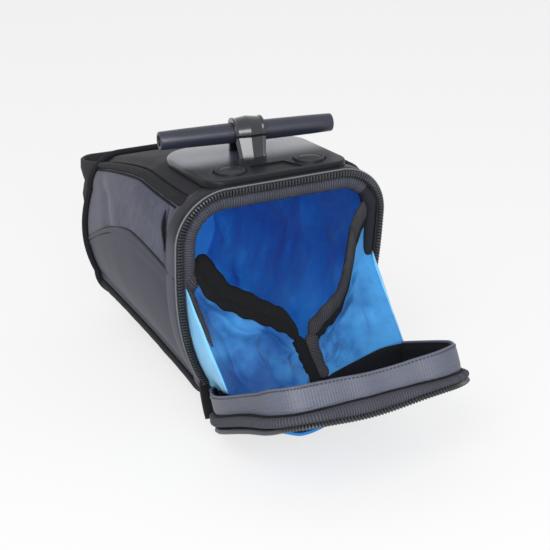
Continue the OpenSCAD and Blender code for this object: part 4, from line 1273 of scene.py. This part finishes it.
# %% [markdown]
# The sheet's free edge is bound with a ribbed roll, and a black tape lies beside it. The left edge and
# its stem are the same roll in black, as painted shade where it is turned over and lies in shadow, so
# that a broad black face shows. Each is an oval swept along the edge, one axis in the sheet and the
# other across it. A black tape closes the right sheet's foot on the lid.

# %% Gusset bindings
def edge_roll(name, path, inward, facing, wide, high, ribs):
    """A roll along a path; wide and high are given at its start and end, ribs from 0 to 1 likewise."""
    run = run_length(path[:, None])
    steps = np.linspace(0, run[-1], int(run[-1] / (RIB / 4)))
    even = [np.stack([np.interp(steps, run, v[:, k]) for k in range(3)], -1)[:, None]
            for v in (path, inward, facing)]
    share = steps / steps[-1]
    rib = 0.09 * rib_wave(len(steps)) * np.interp(share, [0, 1], ribs)
    body = (1 + rib) * np.sqrt(np.clip(np.minimum(steps, steps[-1] - steps) / 2.5 + 0.12, 0, 1))
    a = ring_angles(14)[None, :, None]
    middle, inward, facing = even
    middle = middle + inward * (0.3 * np.sin(steps / 2.9 + 1) + 0.25 * np.sin(steps / 1.3))[:, None, None]
    w = (np.interp(share, [0, 1], wide) * body)[:, None, None]
    h = (np.interp(share, [0, 1], high) * body)[:, None, None]
    return cloth(name, middle + w * np.cos(a) * inward + h * np.sin(a) * facing, True, "both")


# Painted shade: the left edge and stem take the black binding cloth where the same ribbed tape lies in
# shadow.
EDGES = {-1: ((4.6, 3.8), (0.1, 1.0), binding_cloth), 1: ((4.4, 3.9), (1.0, 1.0), bound_cloth)}
RIBBED, TAPE_LIFT = (1.0, 1.0), 0.9
for side, word in SIDES:
    points, facing = SHEETS[side]
    inward = unit(points[3] - points[0])
    wide, ribs, finish = EDGES[side]
    edge = edge_roll(f"{word}_bound_edge", points[0], inward, facing[0], wide, (1.8, 1.8), ribs)
    fit(edge, finish, "edge", "binding", f"{word}_gusset_binding")
    frill = 0.45 * np.sin(np.arange(CELLS) * 0.8)[:, None]
    strip = np.stack([points[0] + inward * (k + frill * (k > 6)) for k in (1.5, 3.0, 4.5, 6.6)])
    tape = cloth(f"{word}_edge_tape", strip + facing[0] * TAPE_LIFT)
    thicken(tape, 0.8, 0)
    fit(tape, binding_cloth, "edge", "binding")
    down = points[:, -1]
    sideways = np.tile(mirrored([1, 0, 0], side), (CELLS, 1))
    over = unit(np.cross(sideways, np.gradient(down, axis=0)))
    stem = edge_roll(f"{word}_stem", down, sideways, over, (3.2, 2.9), (2.0, 1.8), RIBBED)
    fit(stem, finish, "fold", "binding", f"{word}_gusset_binding")
TAIL_WIDE = (3.6, 1.0)
left, facing = SHEETS[-1]
tail = np.arange(12, 47)
tail_share = (tail - tail[0]) / (tail[-1] - tail[0])
tail_wide = mix(*TAIL_WIDE, tail_share)
tail_in = unit(left[tail, 6] - left[tail, 0])
tail_out = facing[tail, 2]
tail_path = left[tail, 0] + tail_in * tail_wide[:, None] + tail_out * TAPE_LIFT
tail_roll = edge_roll("left_roll_tail", tail_path, tail_in, tail_out, TAIL_WIDE, (1.5, 0.8), RIBBED)
fit(tail_roll, bound_cloth, "fold", "binding", "left_gusset_binding")
hem_top = SHEETS[1][0][-1]
hem_foot = np.array([on_lid(x, 42, 4.6) for x in hem_top[:, 0]])
hem = cloth("right_foot_tape", mix(hem_top, hem_foot, np.linspace(0, 1, 7)[:, None, None]))
thicken(hem, 0.9, 0)
fit(hem, binding_cloth, "lid", "binding")

# %% [markdown]
# The lid turns on a fold of cloth along its base. The strip is sewn under the bag's base and on the
# lid's outer face, and bends between them.

# %% Hinge cloth
HINGE_PATH = [(0, -15, -104.5), (0, -19, -104.7), (0, -22.5, -105.1), (0, -25, -106), (0, -26.9, -107.3),
              (0, -28.8, -107.7), (0, -31.5, -107.0)]
hinge_x = np.linspace(-30, 30, 41)
hinge_points = curve(HINGE_PATH, 31)[:, None] + hinge_x[None, :, None] * np.array([1.0, 0, 0])
hinge_points[..., 2] += 0.25 * cloud(hinge_points, 9, 8.0)
hinge_strip = cloth("hinge_cloth", hinge_points)
thicken(hinge_strip, 0.8, 0)
fit(hinge_strip, black_cloth, "hinge", "black_cloth", "hinge_strip")

# %% [markdown]
# The zip runs on past the mouth's lower corners to the lid, where its tape is sewn in. Each of these
# two tails is a short strip between two curves.

# %% Zip tails
TAIL_OUT = [(38.6, -23.6, -92.0), (39.0, -25.5, -98.0), (39.6, -29.0, -103.5), (40.6, -33.5, -106.2)]
TAIL_IN = [(35.5, -24.0, -97.0), (34.8, -25.8, -101.0), (34.8, -29.5, -105.0), (37.0, -33.5, -106.6)]
for side, word in SIDES:
    outer, inner = (curve(mirrored(line, side), 40)[:, None] for line in (TAIL_OUT, TAIL_IN))
    tail = cloth(f"{word}_zip_tail", mix(outer, inner, np.linspace(0, 1, 8)[None, :, None]))
    thicken(tail, 0.9, 0)
    fit(tail, tape_cloth, "tail", "zip_tape")

# %% [markdown]
# The lid is a shallow tray, and its soft rim is a stack: the outer panel's edge at the bottom, the zip
# above it, then a fat ribbed roll, and a standing band that tucks into the mouth when the zip is closed.
# The roll is fullest along the front, thin at the right corner and smooth at the left. All of them take
# their places from two curves of u, so that they stay together.

# %% Lid panel and floor
LID_DOME, LID_EDGE = 10.6, 2.4
EDGE_STEPS = ((1.8, 1.0, 0.2, 0), (0.7, 1.6, 0.7, 0.2), (0.5, 1.9, 1.4, 0.5), (1.2, 1.7, 2.0, 0.8),
              (3.2, 1.2, LID_EDGE, 0.9))
DOME_STEPS = (0.18, 0.28, 0.4, 0.55, 0.7, 0.85, 0.96)
TRAY_STEPS = ((0.17, 5.6), (0.22, 5.4), (0.3, 5.2), (0.42, 5.1), (0.56, 5.0), (0.7, 5.0), (0.84, 5.0),
              (0.96, 5.0))
LID_CENTRE = np.array([0, -MOUTH_Y - MOUTH_LEAN / 2, TOP_Z - MOUTH_H / 2])


def corner(u, low, high):
    """Rises from 0 to 1 round a corner and goes back to 0 along the lid's base."""
    return smooth_step(u, low, high) * (1 - smooth_step(u, 3.5, 4.7))


def droop(u):
    """How far the slack left corner hangs."""
    return 4.0 * corner(-u, 2.1, 3.0)


def roll_foot(u):
    """How far in front of the mouth's plane the lid roll's lower edge lies."""
    return 5.5 + 2.3 * bell(u + 0.3, 0.9) + 1.2 * corner(-u, 1.0, 2.2) + droop(u)


def roll_top(u):
    """The same for the roll's upper edge."""
    return 2.4 + droop(u)


def roll_inset(u):
    """How far in from the lid's edge the roll's middle lies."""
    return 4.6 + 1.2 * corner(u, 0.8, 1.4) - 4.2 * corner(-u, 1.9, 2.8)


def lid_points(u, inset, front, q):
    """Points over the open lid: inset from its edge, or a share q of the way to its middle."""
    points = mix(rim(u, inset, 0), LID_CENTRE, q)
    points[..., 1] -= front
    return opened(points)


lid_u = np.where(ROUND_U > 5, ROUND_U - 10, ROUND_U)
puff = smooth_step(-lid_u, 1.5, 2.1) * (1 - smooth_step(-lid_u, 3.2, 3.8))
inset, foot = roll_inset(lid_u), roll_foot(lid_u)
rings = [lid_points(lid_u, inset + a - p * puff, foot + b + r * puff, 0) for a, p, b, r in EDGE_STEPS]
rings += [lid_points(lid_u, 0, mix(foot + LID_EDGE, LID_DOME, 1 - (1 - q) ** 2), q) for q in DOME_STEPS]
lid_shell = cloth("lid_shell", np.array(rings)[:, ::-1], True, "end")
thicken(lid_shell, PANEL_T)
fit(lid_shell, lid_cloth, "lid", "coated_cloth", "lid_panel")
tray = np.array([lid_points(lid_u, 0, front, q) for q, front in TRAY_STEPS])
tray[..., 2] += 0.5 * cloud(tray, 15, 3.0)
tray_floor = cloth("lid_floor", tray, True, "end")
thicken(tray_floor, 0.6, 0)
fit(tray_floor, lining_cloth, "lid", "lining", "lid_lining")

# %% [markdown]
# The band is a folded strip sewn to the tray's floor. Its section is a thin wall with a round top that
# leans out over the roll; it gets lower towards the fold, and wavers a little. Inside it is faced with
# black tape, and a row of stitches runs along its edge. The soft pieces of the rim each get their own mesh.

# %% Lid band
BAND_FOOT_D, FLOOR_F = 8.8, 5.5
BAND_SECTION = ((0, 1), (0, 0.9), (0, 0.8), (-0.1, 0.6), (-0.15, 0.4), (-0.1, 0.2), (0, 0.09), (0.25, 0.02),
                (0.7, 0), (1.15, 0.02), (1.4, 0.09), (1.5, 0.4), (1.5, 0.7), (1.5, 0.9), (1.5, 1))
FACING_SECTION = ((1.75, 0.05), (1.8, 0.3), (1.8, 0.6), (1.8, 0.85), (1.8, 0.98))
LID_FRONT = turned(unit(np.array([0, -MOUTH_H, MOUTH_LEAN])))
LID_ANCHOR = opened(rim(0.0, 5.4, FLOOR_F)) * MM


def band_top(u):
    """How far in front of the mouth's plane the band's upper edge lies."""
    front = -8.6 + 1.3 * bell(u, 0.75) - 0.9 * bell(u - 1.8, 0.8)
    return front + 4.6 * smooth_step(-u, 1.6, 2.75) + 2 * smooth_step(u, 2.4, 3.4)


def band_inset(u):
    """How far in from the lid's edge the band stands, with its wavering."""
    return 5.3 - 4.5 * smooth_step(-u, 1.9, 2.8) + 0.35 * np.sin(u * 5) + 0.25 * np.sin(u * 11 + 1)


def band_wall(u, places):
    """A section for each u from places: a distance inwards, and a share of the way down the wall."""
    inwards, down = np.array(places).T
    top = band_top(u)[:, None]
    lean = down ** 2 * (BAND_FOOT_D - band_inset(u)[:, None]) * smooth_step(down, 0.72, 1.0)
    inset = band_inset(u)[:, None] + inwards + lean
    return np.stack([inset, mix(top, FLOOR_F + droop(u)[:, None], down)], -1)


def press(piece):
    """Gives a soft piece its own mesh."""
    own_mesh(piece)


band_u = rim_steps(-3.6, 3.6, 1.5)
band = rim_sweep("lid_band_cloth", band_u, band_wall(band_u, BAND_SECTION), True)
fit(band, band_cloth, "lid", "coated_cloth", "lid_band")
press(band)
press(hem)
facing_wall = band_wall(band_u, FACING_SECTION)
facing_points = opened(rim(band_u[:, None], facing_wall[..., 0], facing_wall[..., 1]))
band_facing = cloth("lid_band_facing", facing_points)
thicken(band_facing, 0.4, 0)
fit(band_facing, binding_cloth, "lid", "binding")
press(band_facing)
stitch_u = rim_steps(-3.5, 2.85, 1.7)
stitch_at = opened(rim(stitch_u, band_inset(stitch_u) + 0.02, band_top(stitch_u) + 1.1))
stitches = repeated("band_stitches", stitch_at, turned(rim_axes(stitch_u)), np.array([1.0, 0.4, 0.5]))
fit(stitches, thread_finish, "lid", "coated_cloth")
press(stitches)

# %% [markdown]
# The other half of the zip follows the roll's lower edge, tilted outwards. At the left it runs in behind
# the roll, as it does on the real bag. The roll is soft, so it is pressed flat as the lid shuts.

# %% Lid zip and roll
LID_TAPE_SECTION = np.array(
    [[-0.9, 0.5], [-0.6, 1.2], [0.4, 1.6], [2.9, 1.5], [3.2, 1.0], [2.9, 0.5], [0.4, 0.4]])
TEETH_TILT, ROLL_START, ROLL_HALF_W = math.radians(50), -3.3, 2.6


def zip_inset(u):
    """How far in from the lid's edge the zip lies."""
    return roll_inset(u) - 1.0 + 3.2 * smooth_step(-u, 1.3, 1.9)


zip_u = rim_steps(-ZIP_END_U, ZIP_END_U, 1.5)
zip_line = np.stack([zip_inset(zip_u), roll_foot(zip_u)], -1)[:, None]
lid_tape = rim_sweep("lid_tape", zip_u, zip_line + LID_TAPE_SECTION, True)
fit(lid_tape, tape_cloth, "lid", "zip_tape", "lid_zip_tape")
along, inward, front = turned(rim_axes(tooth_u)).swapaxes(0, 1)
c, s = math.cos(TEETH_TILT), math.sin(TEETH_TILT)
tilted = np.stack([along, inward * c - front * s, inward * s + front * c], 1)
teeth_at = opened(rim(tooth_u, zip_inset(tooth_u) - 0.3, roll_foot(tooth_u) + 0.6))
lid_teeth = repeated("lid_teeth", teeth_at, tilted, np.array([0.95, 2.6, 1.5]))
fit(lid_teeth, teeth_finish, "lid", "zip_teeth", "lid_zip_teeth")
roll_u = rim_steps(ROLL_START, ZIP_END_U, RIB / 4)
foot_line, top_line = roll_foot(roll_u)[:, None], roll_top(roll_u)[:, None]
rib = 1 + 0.1 * rib_wave(len(roll_u)) * smooth_step(roll_u, -1.4, -0.9)
begins = smooth_step(roll_u, ROLL_START, ROLL_START + 0.15)
ends = 1 - smooth_step(roll_u, ZIP_END_U - 0.15, ZIP_END_U)
swell = (rib * (0.5 + 0.5 * begins * ends))[:, None]
around = ring_angles(16)
half_high = (foot_line - top_line) / 2 * swell
roll_section = np.stack([roll_inset(roll_u)[:, None] + ROLL_HALF_W * swell * np.cos(around),
                         mix(top_line, foot_line, 0.5) + half_high * np.sin(around)], -1)
# Painted shade: a black cord along the roll's top stands for the dark gap between band and roll.
gap_u = rim_steps(-3.2, 3.2, 1.5)
gap_line = np.stack([band_inset(gap_u), roll_top(gap_u) - 0.1], -1)[:, None]
gap_shadow_cord = rim_sweep("lid_gap_shadow", gap_u, gap_line + oval(0, 0, 0.7, 0.7, 8), True)
fit(gap_shadow_cord, binding_cloth, "lid", "binding")
press(gap_shadow_cord)
lid_roll = rim_sweep("lid_roll", roll_u, roll_section, True)
fit(lid_roll, roll_cloth, "lid", "ribbed_binding", "lid_binding")
press(lid_roll)

# %% [markdown]
# A loop of blue webbing crosses the lid's outer face, to take the clip of a rear light. It lies close to
# the panel at both sewn ends and stands off it in the middle.

# %% Light loop
LOOP_LEFT, LOOP_TOP_X, LOOP_RIGHT, LOOP_STAND, WEBBING_W, WEBBING_T = -37, -21, 34, 5.2, 18, 1.3
loop_x = np.linspace(LOOP_LEFT, LOOP_RIGHT, 61)
laid = mix(LID_DOME, np.where(loop_x < 0, 9.1, 7.9), (loop_x / 46) ** 2) + 0.7
off = smooth_step(loop_x, LOOP_LEFT, LOOP_TOP_X) * (1 - smooth_step(loop_x, LOOP_TOP_X, 9))
flat_path = np.stack([loop_x, LID_CENTRE[1] - laid - LOOP_STAND * off, LID_CENTRE[2] + 0 * loop_x], -1)
up_lid = turned(unit(np.array([0, MOUTH_LEAN, MOUTH_H])))
light_loop = ribbon("light_webbing", opened(flat_path), up_lid, WEBBING_W, WEBBING_T)
fit(light_loop, webbing_cloth, "lid", "webbing", "light_loop")

# %% [markdown]
# A pale floor and plain soft light. The backdrop is white where the camera, a mirror or glass looks at
# it, and dimmer where it lights the bag, so that colours come out as they are written. A large lamp from
# the upper left gives the shine on the bar and the shadow beside the lid, and a lower one in front
# lights the mouth.

# %% Floor and light
FLOOR_Z = -113.6
WHITE, PAPER = (1, 1, 1, 1), (0.9, 0.9, 0.9, 1)
LAMPS = (("key", (-0.75, -0.75, 0.85), 0.7, 7), ("front", (-0.25, -1.0, 0.3), 0.5, 6))
clear_selection()
bpy.ops.mesh.primitive_plane_add(size=6, location=(0, 0, FLOOR_Z * MM))
floor = bpy.context.object
floor.name = "floor"
bpy.ops.object.transform_apply(location=True)


def backdrop(tree, dim, lit, white, output):
    """Gives the output a white shader for the camera and for mirrors, and a lit one for other rays."""
    wire = Wire(tree)
    seen = wire.node("ShaderNodeLightPath", out="Is Camera Ray")
    for ray in ("Is Glossy Ray", "Is Transmission Ray"):
        seen = wire.maths("MAXIMUM", seen, wire.node("ShaderNodeLightPath", out=ray))
    both = {0: seen * dim, 1: wire.node(*lit), 2: wire.node(*white)}
    mixed = wire.node("ShaderNodeMixShader", {}, both)
    tree.links.new(mixed.socket, tree.nodes[output].inputs["Surface"])


world = bpy.data.worlds.new("studio")
bpy.context.scene.world = world
world.use_nodes = True
backdrop(world.node_tree, 1.0, ("ShaderNodeBackground", {}, {"Color": WHITE, "Strength": 0.6}),
         ("ShaderNodeBackground", {}, {"Color": WHITE, "Strength": 1.0}), "World Output")
pale = bpy.data.materials.new("floor")
pale.use_nodes = True
backdrop(pale.node_tree, 0.7, ("ShaderNodeBsdfDiffuse", {}, {"Color": PAPER}),
         ("ShaderNodeEmission", {}, {"Strength": 1.0}), "Material Output")
floor.data.materials.append(pale)
for name, spot, size, power in LAMPS:
    lamp = bpy.data.objects.new(name, bpy.data.lights.new(name, "AREA"))
    lamp.data.shape = "DISK"
    lamp.data.size = size
    lamp.data.energy = power
    lamp.location = spot
    lamp.rotation_euler = (AIM - lamp.location).to_track_quat("-Z", "Y").to_euler()
    bpy.context.collection.objects.link(lamp)
print("floor at", FLOOR_Z, "mm")
